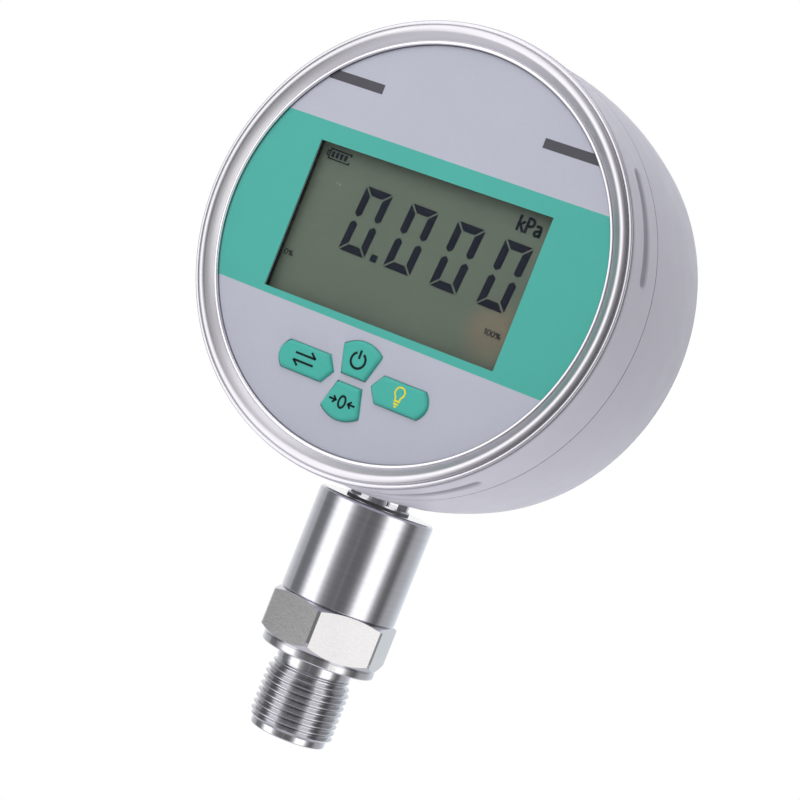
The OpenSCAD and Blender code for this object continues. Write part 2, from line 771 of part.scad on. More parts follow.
module housing_seal() color([0.10, 0.10, 0.10])
    turn_case() translate([inner_r - seal_r - fit / 2, seam_d - spigot_len / 2]) circle(r = seal_r, $fn = 24);

module case_screws() color([0.70, 0.70, 0.72]) {
    screw_bars(case_screw_r, ledge_back_d + ledge_w / 2 + play, inner_back_d + fit);
    difference() {
        screw_bars(case_screw_head_r, inner_back_d, inner_back_d + case_screw_head_h);
        at_case_screws() translate([0, inner_back_d + case_screw_head_h / 2, 0])
            for (a = [0, 90])
                rotate([0, a, 0]) translate([-case_screw_r, 0, -case_screw_head_h / 6])
                    cube([2 * case_screw_r, case_screw_head_h, case_screw_head_h / 3]);
    }
}

module battery_holder() color([0.12, 0.12, 0.13]) difference() {
    plate(tray_floor_d - tray_floor, inner_back_d) translate([0, battery_z])
        square([tray_in_w + 2 * tray_wall, tray_in_h + 2 * tray_wall], center = true);
    plate(tray_floor_d, inner_back_d + cut) translate([0, battery_z]) square([tray_in_w, tray_in_h], center = true);
}

// Height of a cell's axis about the axis of the case
function cell_z(i) = battery_z + (i - (cells - 1) / 2) * cell_pitch;
// Odd cells lie the other way round
function cell_way(i) = i % 2 == 0 ? 1 : -1;
// Cells stand off the middle to leave room for the spring at their flat end
function cell_x(i) = cell_way(i) * spring_len / 2;

// Repeats its children at every cell, with X towards the cell's cap
module at_cells() {
    for (i = [0:cells - 1])
        at_case() translate([cell_x(i), cell_axis_d, cell_z(i)])
            rotate([0, cell_way(i) > 0 ? 0 : 180, 0]) children();
}

module battery_cells() color([0.15, 0.35, 0.30])
    at_cells() rotate([0, 90, 0]) {
        translate([0, 0, -cell_len / 2]) cylinder(r = cell_r, h = cell_len - cell_cap_h, $fn = 64);
        translate([0, 0, cell_len / 2 - cell_cap_h - cell_cap_h]) cylinder(r = cell_cap_r, h = 2 * cell_cap_h, $fn = 40);
    }

module battery_contacts() color([0.80, 0.78, 0.70])
    for (s = [-1, 1], i = [0:cells - 1])
        at_case() translate([s * (tray_in_w / 2 - contact_w / 2), cell_axis_d, cell_z(i)])
            cube([contact_w, contact_h, contact_h], center = true);

module battery_springs() color([0.80, 0.80, 0.82])
    at_cells() rotate([0, 90, 0]) translate([0, 0, -cell_len / 2 - spring_len])
        cylinder(r1 = spring_foot_r, r2 = spring_tip_r, h = spring_len, $fn = 40);

// Outline of the battery door grown by g, with rounded corners
module door_outline(g) {
    w = door_w + 2 * g;
    h = door_h + 2 * g;
    r = door_edge_r + g;
    square([w - 2 * r, h], center = true);
    square([w, h - 2 * r], center = true);
    for (sx = [-1, 1], sz = [-1, 1]) translate([sx * (w / 2 - r), sz * (h / 2 - r)]) circle(r = r, $fn = 32);
}

module battery_door() color([0.74, 0.74, 0.78]) difference() {
    plate(case_d - door_t, case_d) translate([0, battery_z]) door_outline(0);
    for (s = [-1, 1]) {
        bar(s * door_screw_x, battery_z, door_screw_r + play, case_d - door_t - cut, case_d + cut);
        at_case() translate([s * door_screw_x, case_d, battery_z]) rotate([90, 0, 0])
            cylinder(r1 = door_screw_head_r + fit, r2 = door_screw_r + fit, h = door_screw_head_r - door_screw_r, $fn = 40);
    }
}

module door_seal() color([0.10, 0.10, 0.10]) plate(case_d - door_recess, case_d - door_t)
    translate([0, battery_z]) difference() {
        square([tray_in_w + 2 * (seal_band + fit), tray_in_h + 2 * (seal_band + fit)], center = true);
        square([tray_in_w + 2 * fit, tray_in_h + 2 * fit], center = true);
    }

module door_screws() color([0.70, 0.70, 0.72])
    for (s = [-1, 1]) difference() {
        union() {
            bar(s * door_screw_x, battery_z, door_screw_r, case_d - door_t - door_screw_len + play, case_d - door_t / 2);
            at_case() translate([s * door_screw_x, case_d - fit, battery_z]) rotate([90, 0, 0])
                cylinder(r1 = door_screw_head_r, r2 = door_screw_r, h = door_screw_head_r - door_screw_r, $fn = 40);
        }
        at_case() translate([s * door_screw_x, case_d - fit, battery_z])
            for (a = [0, 90])
                rotate([0, a, 0]) cube([2 * door_screw_r, door_t, door_t / 4], center = true);
    }

module neck() color([0.76, 0.76, 0.78]) {
    foot_z = sensor_top - sensor_top_w;
    ring_z = sensor_top + neck_seal_h;
    ring_top = ring_z + neck_ring_h;
    open_top = ring_top + neck_open_h;
    rotate_extrude() polygon([
        [neck_bore_r, foot_z], [neck_foot_r, foot_z], [neck_foot_r, ring_z], [neck_ring_r, ring_z],
        [neck_ring_r, ring_top], [neck_bore_r, ring_top]]);
    rotate_extrude() polygon([
        [neck_bore_r, open_top], [neck_r, open_top], [neck_r, neck_shoulder_z], [neck_top_r, neck_shoulder_z],
        [neck_top_r, neck_top_z], [neck_bore_r, neck_top_z]]);
    intersection() {
        rotate_extrude() translate([neck_r - leg_t, ring_top]) square([leg_t, neck_open_h]);
        for (a = [0, 90]) rotate([0, 0, a + neck_turn])
            translate([-leg_w / 2, -neck_ring_r, ring_top - cut])
                cube([leg_w, 2 * neck_ring_r, neck_open_h + 2 * cut]);
    }
}

module neck_foot_seal() color([0.10, 0.10, 0.10])
    translate([0, 0, sensor_top]) rotate_extrude()
        translate([neck_foot_r + fit, 0]) square([neck_ring_r - neck_foot_r - fit, neck_seal_h]);

module neck_washer() color([0.12, 0.12, 0.12])
    translate([0, 0, neck_shoulder_z]) rotate_extrude()
        translate([neck_top_r + fit, 0]) square([neck_r - neck_top_r - fit, washer_w]);

module neck_nut() color([0.72, 0.72, 0.70]) difference() {
    translate([0, 0, pad_z]) cylinder(r = nut_af / sqrt(3), h = nut_h, $fn = 6);
    translate([0, 0, pad_z - cut]) cylinder(r = neck_top_r + fit, h = nut_h + 2 * cut);
}

module lead_tube() color([0.76, 0.76, 0.78]) {
    foot_z = sensor_top - sensor_top_w;
    translate([0, 0, foot_z]) rotate_extrude()
        translate([lead_tube_r - lead_tube_wall, 0]) square([lead_tube_wall, lead_tube_top - foot_z]);
}

module sensor_lead() color([0.20, 0.20, 0.21]) {
    z0 = board_seat_z;
    run_y = lead_end_d - stem_back;
    translate([0, 0, z0]) cylinder(r = lead_r, h = lead_run_z - lead_bend_r - z0, $fn = 32);
    translate([0, -lead_bend_r, lead_run_z - lead_bend_r]) rotate([0, -90, 0]) rotate([0, 0, -90])
        rotate([0, 0, 90]) rotate_extrude(angle = 90, $fn = 96) translate([lead_bend_r, 0]) circle(r = lead_r, $fn = 32);
    translate([0, -lead_bend_r, lead_run_z]) rotate([90, 0, 0])
        cylinder(r = lead_r, h = -lead_bend_r - run_y, $fn = 32);
}

module lead_plug() color([0.92, 0.91, 0.86])
    plate(plug_d, lead_end_d) translate([0, lead_run_z - case_axis_h]) square([plug_w, plug_h], center = true);

module lead_socket() color([0.92, 0.91, 0.86]) plate(board_d + board_w, board_d + board_w + socket_len)
    translate([0, lead_run_z - case_axis_h]) difference() {
        square([plug_w + 2 * (play + socket_rim), plug_h + 2 * (play + socket_rim)], center = true);
        square([plug_w + 2 * play, plug_h + 2 * play], center = true);
    }

module sensor_housing() color([0.76, 0.76, 0.78])
    rotate_extrude() polygon([
        [spigot_r, hex_top], [sensor_r - joint_chamfer, hex_top], [sensor_r, hex_top + joint_chamfer],
        [sensor_r, sensor_top - sensor_edge], [sensor_r - sensor_edge, sensor_top],
        [neck_foot_r + fit, sensor_top], [neck_foot_r + fit, sensor_top - sensor_top_w],
        [spigot_r - board_seat, sensor_top - sensor_top_w], [spigot_r - board_seat, board_seat_z],
        [spigot_r, board_seat_z]]);

module sensor_board() color([0.10, 0.35, 0.20]) difference() {
    translate([0, 0, board_seat_z - sensor_board_w]) cylinder(r = sensor_board_r, h = sensor_board_w, $fn = 72);
    for (i = [0:pins - 1]) rotate([0, 0, i * 360 / pins])
        translate([pin_ring_r, 0, board_seat_z - sensor_board_w - cut])
            cylinder(r = pin_r + fit, h = sensor_board_w + 2 * cut, $fn = 16);
}

module sensor_cell() color([0.78, 0.78, 0.80]) {
    z0 = sensor_cell_z;
    z1 = z0 + sensor_cell_h;
    rotate_extrude() polygon([
        [0, z0], [sensor_cell_r, z0], [sensor_cell_r, z0 + cell_groove_z],
        [sensor_cell_r - cell_groove_cut, z0 + cell_groove_z],
        [sensor_cell_r - cell_groove_cut, z0 + cell_groove_z + cell_groove_w],
        [sensor_cell_r, z0 + cell_groove_z + cell_groove_w], [sensor_cell_r, z1], [0, z1]]);
    for (i = [0:pins - 1]) rotate([0, 0, i * 360 / pins]) translate([pin_ring_r, 0, z1 - cut])
        cylinder(r = pin_r, h = board_seat_z + pin_stand - z1 + cut, $fn = 16);
}

module sensor_o_ring() color([0.10, 0.10, 0.10])
    translate([0, 0, sensor_cell_z + cell_groove_z + cell_groove_w / 2]) rotate_extrude()
        translate([cell_hole_r - o_ring_r - fit / 2, 0]) circle(r = o_ring_r, $fn = 24);

module sensor_ring() color([0.72, 0.72, 0.70]) difference() {
    translate([0, 0, sensor_cell_z + sensor_cell_h]) rotate_extrude()
        translate([ring_hole_r, 0]) square([sensor_cell_r - ring_hole_r, ring_h]);
    translate([0, 0, sensor_cell_z + sensor_cell_h + ring_h])
        cube([2 * sensor_r, ring_slot_w, ring_h], center = true);
}

// Points of the turned thread: one ridge for every crest
function ridges() = [for (i = [0:thread_turns - 1]) let (z = i * thread_pitch)
    for (p = [[thread_r - thread_cut, z - thread_flank], [thread_r, z], [thread_r, z + crest_w],
              [thread_r - thread_cut, z + crest_w + thread_flank]]) p];

module pressure_connection() color([0.76, 0.76, 0.78]) difference() {
    union() {
        // Hexagon with its corners turned off at both ends
        intersection() {
            translate([0, 0, hex_z]) rotate([0, 0, hex_turn]) cylinder(r = hex_corner_r, h = hex_h, $fn = 6);
            rotate_extrude() polygon([
                [0, hex_z], [hex_af / 2 - joint_chamfer, hex_z], [hex_corner_r + fit, hex_z + hex_chamfer_low],
                [hex_corner_r + fit, hex_top - hex_chamfer_top], [hex_af / 2 - joint_chamfer, hex_top], [0, hex_top]]);
        }
        rotate_extrude() polygon(concat(
            [[0, -pilot_h], [pilot_r - pilot_edge, -pilot_h], [pilot_r, pilot_edge - pilot_h],
             [pilot_r, -thread_flank]],
            ridges(),
            [[relief_r, thread_top + thread_flank], [relief_r, collar_z], [collar_r - joint_chamfer, collar_z],
             [collar_r, collar_z + joint_chamfer], [collar_r, hex_z + fit], [spigot_r - fit, hex_z + fit],
             [spigot_r - fit, hex_top + stem_spigot_h], [0, hex_top + stem_spigot_h]]));
    }
    translate([0, 0, -pilot_h - cut]) cylinder(r = port_r, h = port_len + cut + cut);
    translate([0, 0, sensor_cell_z - port_chamber]) cylinder(r = pin_ring_r, h = port_chamber + cut);
    translate([0, 0, sensor_cell_z]) cylinder(r = cell_hole_r, h = hex_top + stem_spigot_h - sensor_cell_z + cut);
}

front_housing();
rear_housing();
bezel_ring();
face_plate();
face_label();
face_gasket();
window_pane();
display_glass();
display_segments();
back_light();
display_holder();
contact_strips();
circuit_board();
board_parts();
board_screws();
switch("left");  // switch_left
switch("top");  // switch_top
switch("bottom");  // switch_bottom
switch("right");  // switch_right
plunger("left");  // plunger_left
plunger("top");  // plunger_top
plunger("bottom");  // plunger_bottom
plunger("right");  // plunger_right
key("left");  // key_left
key("top");  // key_top
key("bottom");  // key_bottom
key("right");  // key_right
housing_seal();
case_screws();
battery_holder();
battery_cells();
battery_contacts();
battery_springs();
battery_door();
door_seal();
door_screws();
neck();
neck_foot_seal();
neck_washer();
neck_nut();
lead_tube();
sensor_lead();
lead_plug();
lead_socket();
sensor_housing();
sensor_board();
sensor_cell();
sensor_ring();
sensor_o_ring();
pressure_connection();
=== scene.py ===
import json
import math

import bmesh
import bpy
from mathutils import Matrix, Vector

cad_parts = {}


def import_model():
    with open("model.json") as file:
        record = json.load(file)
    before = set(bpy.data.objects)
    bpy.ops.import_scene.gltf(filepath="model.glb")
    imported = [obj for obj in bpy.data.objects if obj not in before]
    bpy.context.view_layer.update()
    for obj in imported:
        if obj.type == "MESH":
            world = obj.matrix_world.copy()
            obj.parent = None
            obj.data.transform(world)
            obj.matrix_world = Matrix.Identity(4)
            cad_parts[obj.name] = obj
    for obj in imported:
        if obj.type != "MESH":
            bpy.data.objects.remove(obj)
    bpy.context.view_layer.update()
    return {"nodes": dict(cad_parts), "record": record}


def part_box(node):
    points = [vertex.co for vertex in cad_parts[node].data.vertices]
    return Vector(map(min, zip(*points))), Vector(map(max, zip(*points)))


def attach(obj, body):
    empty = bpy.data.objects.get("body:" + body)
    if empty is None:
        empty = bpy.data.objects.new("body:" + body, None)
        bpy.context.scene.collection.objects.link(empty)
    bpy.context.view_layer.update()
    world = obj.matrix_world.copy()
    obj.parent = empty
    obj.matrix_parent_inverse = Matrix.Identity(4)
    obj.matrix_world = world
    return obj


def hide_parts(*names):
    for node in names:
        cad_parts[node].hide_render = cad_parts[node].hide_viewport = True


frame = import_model()
nodes = frame["nodes"]

MM = 0.001
TURN = 2 * math.pi

# Place of the case: its axis runs along Y, and depths are counted from the bezel's lip
bezel_low, bezel_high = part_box("bezel_ring")
CASE_Z = (bezel_low.z + bezel_high.z) / 2 / MM
LIP_Y = -33.5


def case_point(x, z, depth):
    """Point in metres from its place on the face and its depth."""
    return Vector((x * MM, (LIP_Y + depth) * MM, (CASE_Z + z) * MM))


def case_turn(radius, angle, depth):
    """Point in metres on a circle about the case axis."""
    return case_point(radius * math.cos(angle), radius * math.sin(angle), depth)


def stem_turn(radius, angle, height):
    """Point in metres on a circle about the stem axis."""
    return Vector((radius * math.cos(angle) * MM, radius * math.sin(angle) * MM, height * MM))


# Meshes
def make(name, verts, faces, crease=32):
    """Mesh object from points in metres, welded, smooth between its creases."""
    mesh = bpy.data.meshes.new(name)
    mesh.from_pydata(verts, [], faces)
    work = bmesh.new()
    work.from_mesh(mesh)
    bmesh.ops.remove_doubles(work, verts=work.verts, dist=1e-7)
    bmesh.ops.dissolve_degenerate(work, edges=work.edges, dist=1e-8)
    bmesh.ops.recalc_face_normals(work, faces=work.faces)
    work.to_mesh(mesh)
    work.free()
    mesh.shade_smooth()
    mesh.set_sharp_from_angle(angle=math.radians(crease))
    piece = bpy.data.objects.new(name, mesh)
    bpy.context.scene.collection.objects.link(piece)
    return piece


def arc(centre, radius, first, last, steps):
    """Points of an arc, with its angles in degrees."""
    out = []
    for i in range(steps + 1):
        a = math.radians(first + (last - first) * i / steps)
        out.append((centre[0] + radius * math.cos(a), centre[1] + radius * math.sin(a)))
    return out


def ring_faces(segments, count, offset=0):
    """Faces of a closed outline of count points, turned in a number of segments."""
    faces = []
    for i in range(segments):
        j = (i + 1) % segments
        for k in range(count):
            m = (k + 1) % count
            faces.append((offset + i * count + k, offset + j * count + k,
                          offset + j * count + m, offset + i * count + m))
    return faces


def turned(outline, segments, at, verts, faces):
    """Adds a closed outline of radius and height, turned about an axis."""
    faces += ring_faces(segments, len(outline), offset=len(verts))
    for i in range(segments):
        a = TURN * i / segments
        verts += [at(r, a, h) for r, h in outline]


def place(piece, body, slot, finish, *replaced):
    """Finish, body and the CAD nodes that a piece stands for. The slot is not used."""
    piece.data.materials.clear()
    piece.data.materials.append(finish)
    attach(piece, body)
    if replaced:
        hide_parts(*replaced)
    return piece


# Finishes
def rgb(r, g, b):
    """Linear colour from its 0 to 255 display values."""
    out = []
    for v in (r, g, b):
        v /= 255
        out.append(v / 12.92 if v <= 0.04045 else ((v + 0.055) / 1.055) ** 2.4)
    return (*out, 1.0)


class Finish:
    """Node graph of one finish, with lengths in millimetres of the piece's own space."""

    def __init__(self, name, **sockets):
        self.material = bpy.data.materials.new(name)
        self.material.use_nodes = True
        self.tree = self.material.node_tree
        self.shader = self.tree.nodes["Principled BSDF"]
        for socket, value in sockets.items():
            self.shader.inputs[socket.replace("_", " ")].default_value = value
        coords = self.node("ShaderNodeTexCoord").outputs["Object"]
        scale = self.node("ShaderNodeVectorMath")
        scale.operation = "SCALE"
        scale.inputs["Scale"].default_value = 1 / MM
        self.tree.links.new(coords, scale.inputs[0])
        self.where = scale.outputs[0]
        split = self.node("ShaderNodeSeparateXYZ")
        self.tree.links.new(self.where, split.inputs[0])
        self.x, self.y, self.z = split.outputs
        self.case_z = self.math("SUBTRACT", self.z, CASE_Z)

    def node(self, kind):
        return self.tree.nodes.new(kind)

    def set(self, socket, value):
        """Links an output to a socket, or writes a plain value in it."""
        if isinstance(value, bpy.types.NodeSocket):
            self.tree.links.new(value, socket)
        else:
            socket.default_value = value

    def math(self, operation, a, b=0.0):
        node = self.node("ShaderNodeMath")
        node.operation = operation
        for socket, value in zip(node.inputs, (a, b)):
            self.set(socket, value)
        return node.outputs[0]

    def vector(self, x, y, z):
        node = self.node("ShaderNodeCombineXYZ")
        for socket, value in zip(node.inputs, (x, y, z)):
            self.set(socket, value)
        return node.outputs[0]

    def noise(self, size, detail=3.0, rough=0.5, stretch=(1, 1, 1), where=None, distort=0.0):
        """Noise from 0 to 1 whose features are about size millimetres."""
        grow = self.node("ShaderNodeVectorMath")
        grow.operation = "MULTIPLY"
        self.set(grow.inputs[0], where or self.where)
        grow.inputs[1].default_value = [s / size for s in stretch]
        node = self.node("ShaderNodeTexNoise")
        node.inputs["Scale"].default_value = 1.0
        node.inputs["Detail"].default_value = detail
        node.inputs["Roughness"].default_value = rough
        node.inputs["Distortion"].default_value = distort
        self.tree.links.new(grow.outputs[0], node.inputs["Vector"])
        return node.outputs["Fac"]

    def range(self, value, low, high, out_low=0.0, out_high=1.0, smooth=False):
        node = self.node("ShaderNodeMapRange")
        node.interpolation_type = "SMOOTHSTEP" if smooth else "LINEAR"
        for name, entry in (("Value", value), ("From Min", low), ("From Max", high),
                            ("To Min", out_low), ("To Max", out_high)):
            self.set(node.inputs[name], entry)
        return node.outputs[0]

    def mix(self, share, a, b, blend="MIX"):
        node = self.node("ShaderNodeMix")
        node.data_type = "RGBA"
        node.blend_type = blend
        self.set(node.inputs["Factor"], share)
        colours = [s for s in node.inputs if s.type == "RGBA"]
        self.set(colours[0], a)
        self.set(colours[1], b)
        return [s for s in node.outputs if s.type == "RGBA"][0]

    def shade(self, colour, amount):
        """A colour made lighter or darker by a factor."""
        return self.mix(1.0, colour, self.vector(amount, amount, amount), "MULTIPLY")

    def bump(self, height, distance, strength=1.0):
        node = self.node("ShaderNodeBump")
        node.inputs["Distance"].default_value = distance * MM
        node.inputs["Strength"].default_value = strength
        self.set(node.inputs["Height"], height)
        return node.outputs[0]

    def to(self, socket, value):
        self.set(self.shader.inputs[socket], value)

    def between(self, value, low, high, soft=0.04):
        """One between two limits, with soft edges."""
        up = self.range(value, low - soft, low + soft)
        down = self.range(value, high - soft, high + soft, 1.0, 0.0)
        return self.math("MULTIPLY", up, down)

    def radius(self, x, z):
        return self.math("SQRT", self.math("ADD", self.math("MULTIPLY", x, x), self.math("MULTIPLY", z, z)))

    def spot(self, x, z):
        """Distance from a place on the face."""
        return self.radius(self.math("SUBTRACT", self.x, x), self.math("SUBTRACT", self.z, CASE_Z + z))


def paint_finish():
    """Satin powder coat: fine orange peel and colour drift, with painted shade in the scoops, in the seam and
    in corners.
    """
    f = Finish("housing_paint", Roughness=0.42, Specular_IOR_Level=0.35)
    drift = f.noise(30, 2)
    grain = f.noise(0.35, 3, 0.6)
    tone = f.math("ADD", f.range(drift, 0.3, 0.7, 0.975, 1.01), f.range(grain, 0.3, 0.7, -0.012, 0.012))
    # Painted shade in the scoops: darker where the wall lies sunk below the housing's outline, weaker towards
    # their front
    depth = f.math("SUBTRACT", f.y, LIP_Y)
    wall = f.math("ADD", WALL_R, f.math("MULTIPLY", depth, WALL_SLOPE))
    sunk = f.math("SUBTRACT", wall, f.radius(f.x, f.case_z))
    scoop_shade = f.math("MULTIPLY", f.range(sunk, 0.08, 0.5), f.between(depth, SCOOP_FRONT, SCOOP_BACK, 0.3))
    scoop_shade = f.math("MULTIPLY", scoop_shade, f.range(depth, SCOOP_FRONT + 0.6, SCOOP_BACK - 1.6, 0.4, 1.0))
    # Painted shade along the seam between the housings
    seam = f.between(depth, SEAM_AT - SEAM_SHADE_SOFT, SEAM_AT + SEAM_SHADE_SOFT, 0.1)
    # Painted shade in corners and close to other parts, taken from an ambient occlusion node
    near = f.node("ShaderNodeAmbientOcclusion")
    near.samples = 8
    near.inputs["Distance"].default_value = CORNER_SHADE_REACH * MM
    near = f.range(near.outputs["AO"], 0.1, 0.85, 0.5, 1.0)
    near = f.math("MULTIPLY", near, f.range(seam, 0.0, 1.0, 1.0, 0.7))
    tone = f.math("MULTIPLY", tone, f.math("MULTIPLY", near, f.range(scoop_shade, 0.0, 1.0, 1.0, 0.55)))
    f.to("Base Color", f.shade(rgb(184, 182, 193), tone))
    f.to("Roughness", f.range(f.noise(6, 4), 0.3, 0.7, 0.36, 0.48))
    f.to("Normal", f.bump(f.noise(0.9, 2), 0.02, 0.5))
    return f.material


def turned_steel(name, colour, rough, axis, size=0.12, depth=0.004, spread=0.07):
    """Bright steel with turning marks round an axis: 'stem' or 'case'."""
    f = Finish(name, Metallic=1.0, Roughness=rough)
    if axis == "stem":
        radius, along = f.radius(f.x, f.y), f.z
    else:
        radius, along = f.radius(f.x, f.case_z), f.y
    line = f.vector(radius, 0.0, along)
    fine = f.noise(size, 4, 0.7, where=line)
    wide = f.noise(size * 9, 2, 0.5, where=line)
    cloud = f.noise(9, 3)
    tone = f.math("ADD", f.range(fine, 0.25, 0.75, 0.94, 1.05), f.range(wide, 0.3, 0.7, -0.03, 0.03))
    f.to("Base Color", f.shade(colour, tone))
    roughness = f.math("ADD", f.range(fine, 0.3, 0.7, rough - spread / 2, rough + spread / 2),
                       f.range(cloud, 0.3, 0.7, -0.02, 0.02))
    f.to("Roughness", roughness)
    f.to("Normal", f.bump(fine, depth))
    f.fine, f.tone, f.rough, f.out = fine, tone, roughness, radius
    return f


def bezel_finish():
    """Satin steel: bright bead and lip, slightly duller slope and edge, and painted shade in the valley between
    the beads.
    """
    bright = rgb(228, 226, 231)
    f = turned_steel("bezel_metal", bright, 0.2, "case", 0.10, 0.002, 0.04)
    bead_in, bead_out = FRONT_AT - FRONT_HALF, FRONT_AT + FRONT_HALF
    slope = f.between(f.out, FACE_R + 0.9, bead_in, 0.06)
    bead = f.range(f.out, bead_in - 0.06, bead_in + 0.06)
    edge = f.range(f.out, bead_out - 0.04, bead_out + 0.04)
    # Painted shade in the valley between the front bead and the edge bead
    valley = f.between(f.out, bead_out - 0.2, bead_out + 0.12, 0.06)
    colour = f.mix(slope, bright, rgb(222, 220, 224))
    colour = f.mix(edge, colour, rgb(216, 214, 220))
    colour = f.mix(valley, colour, rgb(192, 190, 196))
    f.to("Base Color", f.shade(colour, f.tone))
    rough = f.math("ADD", f.rough, f.math("MULTIPLY", slope, 0.2))
    rough = f.math("ADD", rough, f.math("MULTIPLY", bead, 0.14))
    f.to("Roughness", f.math("SUBTRACT", rough, f.math("MULTIPLY", edge, 0.1)))
    return f.material


def sensor_finish():
    """Finely turned wall with a smoother top face."""
    wall = rgb(216, 215, 221)
    f = turned_steel("sensor_steel", wall, 0.14, "stem", 0.10, 0.003, 0.08)
    top = f.range(f.z, SENSOR_TOP - 0.05, SENSOR_TOP - 0.01)
    f.to("Base Color", f.shade(f.mix(top, wall, rgb(230, 229, 233)), f.tone))
    f.to("Roughness", f.math("SUBTRACT", f.rough, f.math("MULTIPLY", top, 0.05)))
    return f.material


def stem_finish():
    return turned_steel("stem_steel", rgb(200, 199, 205), 0.16, "stem", 0.14, 0.003).material


def connection_finish():
    """Turned steel below, brushed flats on the hexagon."""
    bright = rgb(216, 215, 220)
    f = turned_steel("connection_steel", bright, 0.1, "stem", 0.12, 0.002, 0.04)
    # Greatest distance from the axis along the normals of the three pairs of flats
    reach = 0.0
    for i in range(3):
        a = HEX_TURN + i * math.pi / 3
        dot = f.node("ShaderNodeVectorMath")
        dot.operation = "DOT_PRODUCT"
        f.set(dot.inputs[0], f.where)
        dot.inputs[1].default_value = (math.cos(a), math.sin(a), 0)
        reach = f.math("MAXIMUM", f.math("ABSOLUTE", dot.outputs["Value"]), reach)
    flat = f.range(reach, HEX_HALF - 0.03, HEX_HALF - 0.015)
    grain = f.noise(0.16, 4, 0.75, (0.12, 0.12, 1.0))
    scratch = f.noise(0.3, 3, 0.6, (0.35, 0.35, 1.0), distort=1.5)
    mark = f.math("ADD", f.math("MULTIPLY", grain, 0.6), f.math("MULTIPLY", scratch, 0.4))
    brushed = f.range(mark, 0.3, 0.7, 0.82, 1.1)
    thread = f.math("MULTIPLY", f.range(f.out, THREAD_R - 0.1, THREAD_R - 0.04, 1.0, 0.0),
                    f.between(f.z, THREAD_LOW, THREAD_HIGH))
    turned = f.mix(thread, bright, rgb(203, 202, 206))
    colour = f.mix(flat, f.shade(turned, f.tone), f.shade(rgb(212, 210, 210), brushed))
    f.to("Base Color", colour)
    share = f.math("MULTIPLY", flat, f.range(mark, 0.3, 0.7, 0.10, 0.2))
    cone = f.math("MULTIPLY", f.range(f.out, COLLAR_R, COLLAR_R + 0.06),
                  f.between(f.z, COLLAR_LOW, HEX_LOW + 2.4))
    round_part = f.math("SUBTRACT", 1.0, flat)
    cone = f.math("MULTIPLY", cone, round_part)
    share = f.math("ADD", share, f.math("MULTIPLY", cone, 0.3))
    f.to("Roughness", f.math("ADD", f.rough, share))
    lines = f.math("ADD", f.math("MULTIPLY", f.fine, round_part), f.math("MULTIPLY", mark, flat))
    # The lower chamfer is shaded as a steeper cone, which sees the ground and not the collar
    steep = f.vector(f.math("MULTIPLY", f.math("DIVIDE", f.x, f.out), STEEP_OUT),
                     f.math("MULTIPLY", f.math("DIVIDE", f.y, f.out), STEEP_OUT), -STEEP_DOWN)
    f.to("Normal", f.mix(cone, f.bump(lines, 0.004), steep))
    return f.material


def screw_finish():
    return turned_steel("screw_steel", rgb(200, 199, 196), 0.28, "case", 0.2, 0.004).material


def contact_finish():
    f = Finish("contact_metal", Metallic=1.0)
    cloud = f.noise(2.5, 4)
    f.to("Base Color", f.shade(rgb(224, 221, 212), f.range(cloud, 0.3, 0.7, 0.94, 1.03)))
    f.to("Roughness", f.range(cloud, 0.3, 0.7, 0.16, 0.3))
    return f.material


def label_finish():
    """Printed film: grey ground, teal band, two dark bars."""
    f = Finish("label_film", Roughness=0.5, Specular_IOR_Level=0.25)
    level = f.math("ADD", f.case_z, f.math("MULTIPLY", f.x, LABEL_LEAN))
    band = f.between(level, BAND_LOW, BAND_HIGH)
    bars = f.between(level, BAR_LOW, BAR_HIGH)
    left = f.range(f.x, BAR_LEFT - 0.04, BAR_LEFT + 0.04, 1.0, 0.0)
    right = f.range(f.x, BAR_RIGHT - 0.04, BAR_RIGHT + 0.04)
    bars = f.math("MULTIPLY", bars, f.math("ADD", left, right))
    ground = f.mix(band, rgb(179, 181, 194), rgb(75, 168, 157))
    ground = f.mix(bars, ground, rgb(77, 76, 83))
    mottle = f.noise(0.5, 3, 0.6)
    drift = f.noise(18, 2)
    tone = f.math("ADD", f.range(mottle, 0.3, 0.7, 0.985, 1.015), f.range(drift, 0.3, 0.7, -0.012, 0.012))
    f.to("Base Color", f.shade(ground, tone))
    f.to("Roughness", f.range(f.noise(4, 3), 0.3, 0.7, 0.46, 0.56))
    f.to("Normal", f.bump(f.noise(0.25, 2), 0.006, 0.6))
    return f.material


def rubber_finish():
    """Teal silicone of the keys, with a faint mottle and drift, and a fine bump."""
    f = Finish("key_rubber", Roughness=0.5, Specular_IOR_Level=0.3)
    mottle = f.noise(0.4, 3, 0.6)
    drift = f.noise(5, 2)
    tone = f.math("ADD", f.range(mottle, 0.3, 0.7, 0.97, 1.03), f.range(drift, 0.3, 0.7, -0.02, 0.02))
    f.to("Base Color", f.shade(rgb(69, 170, 158), tone))
    f.to("Roughness", f.range(drift, 0.3, 0.7, 0.44, 0.56))
    f.to("Normal", f.bump(f.noise(0.3, 2), 0.01, 0.6))
    return f.material


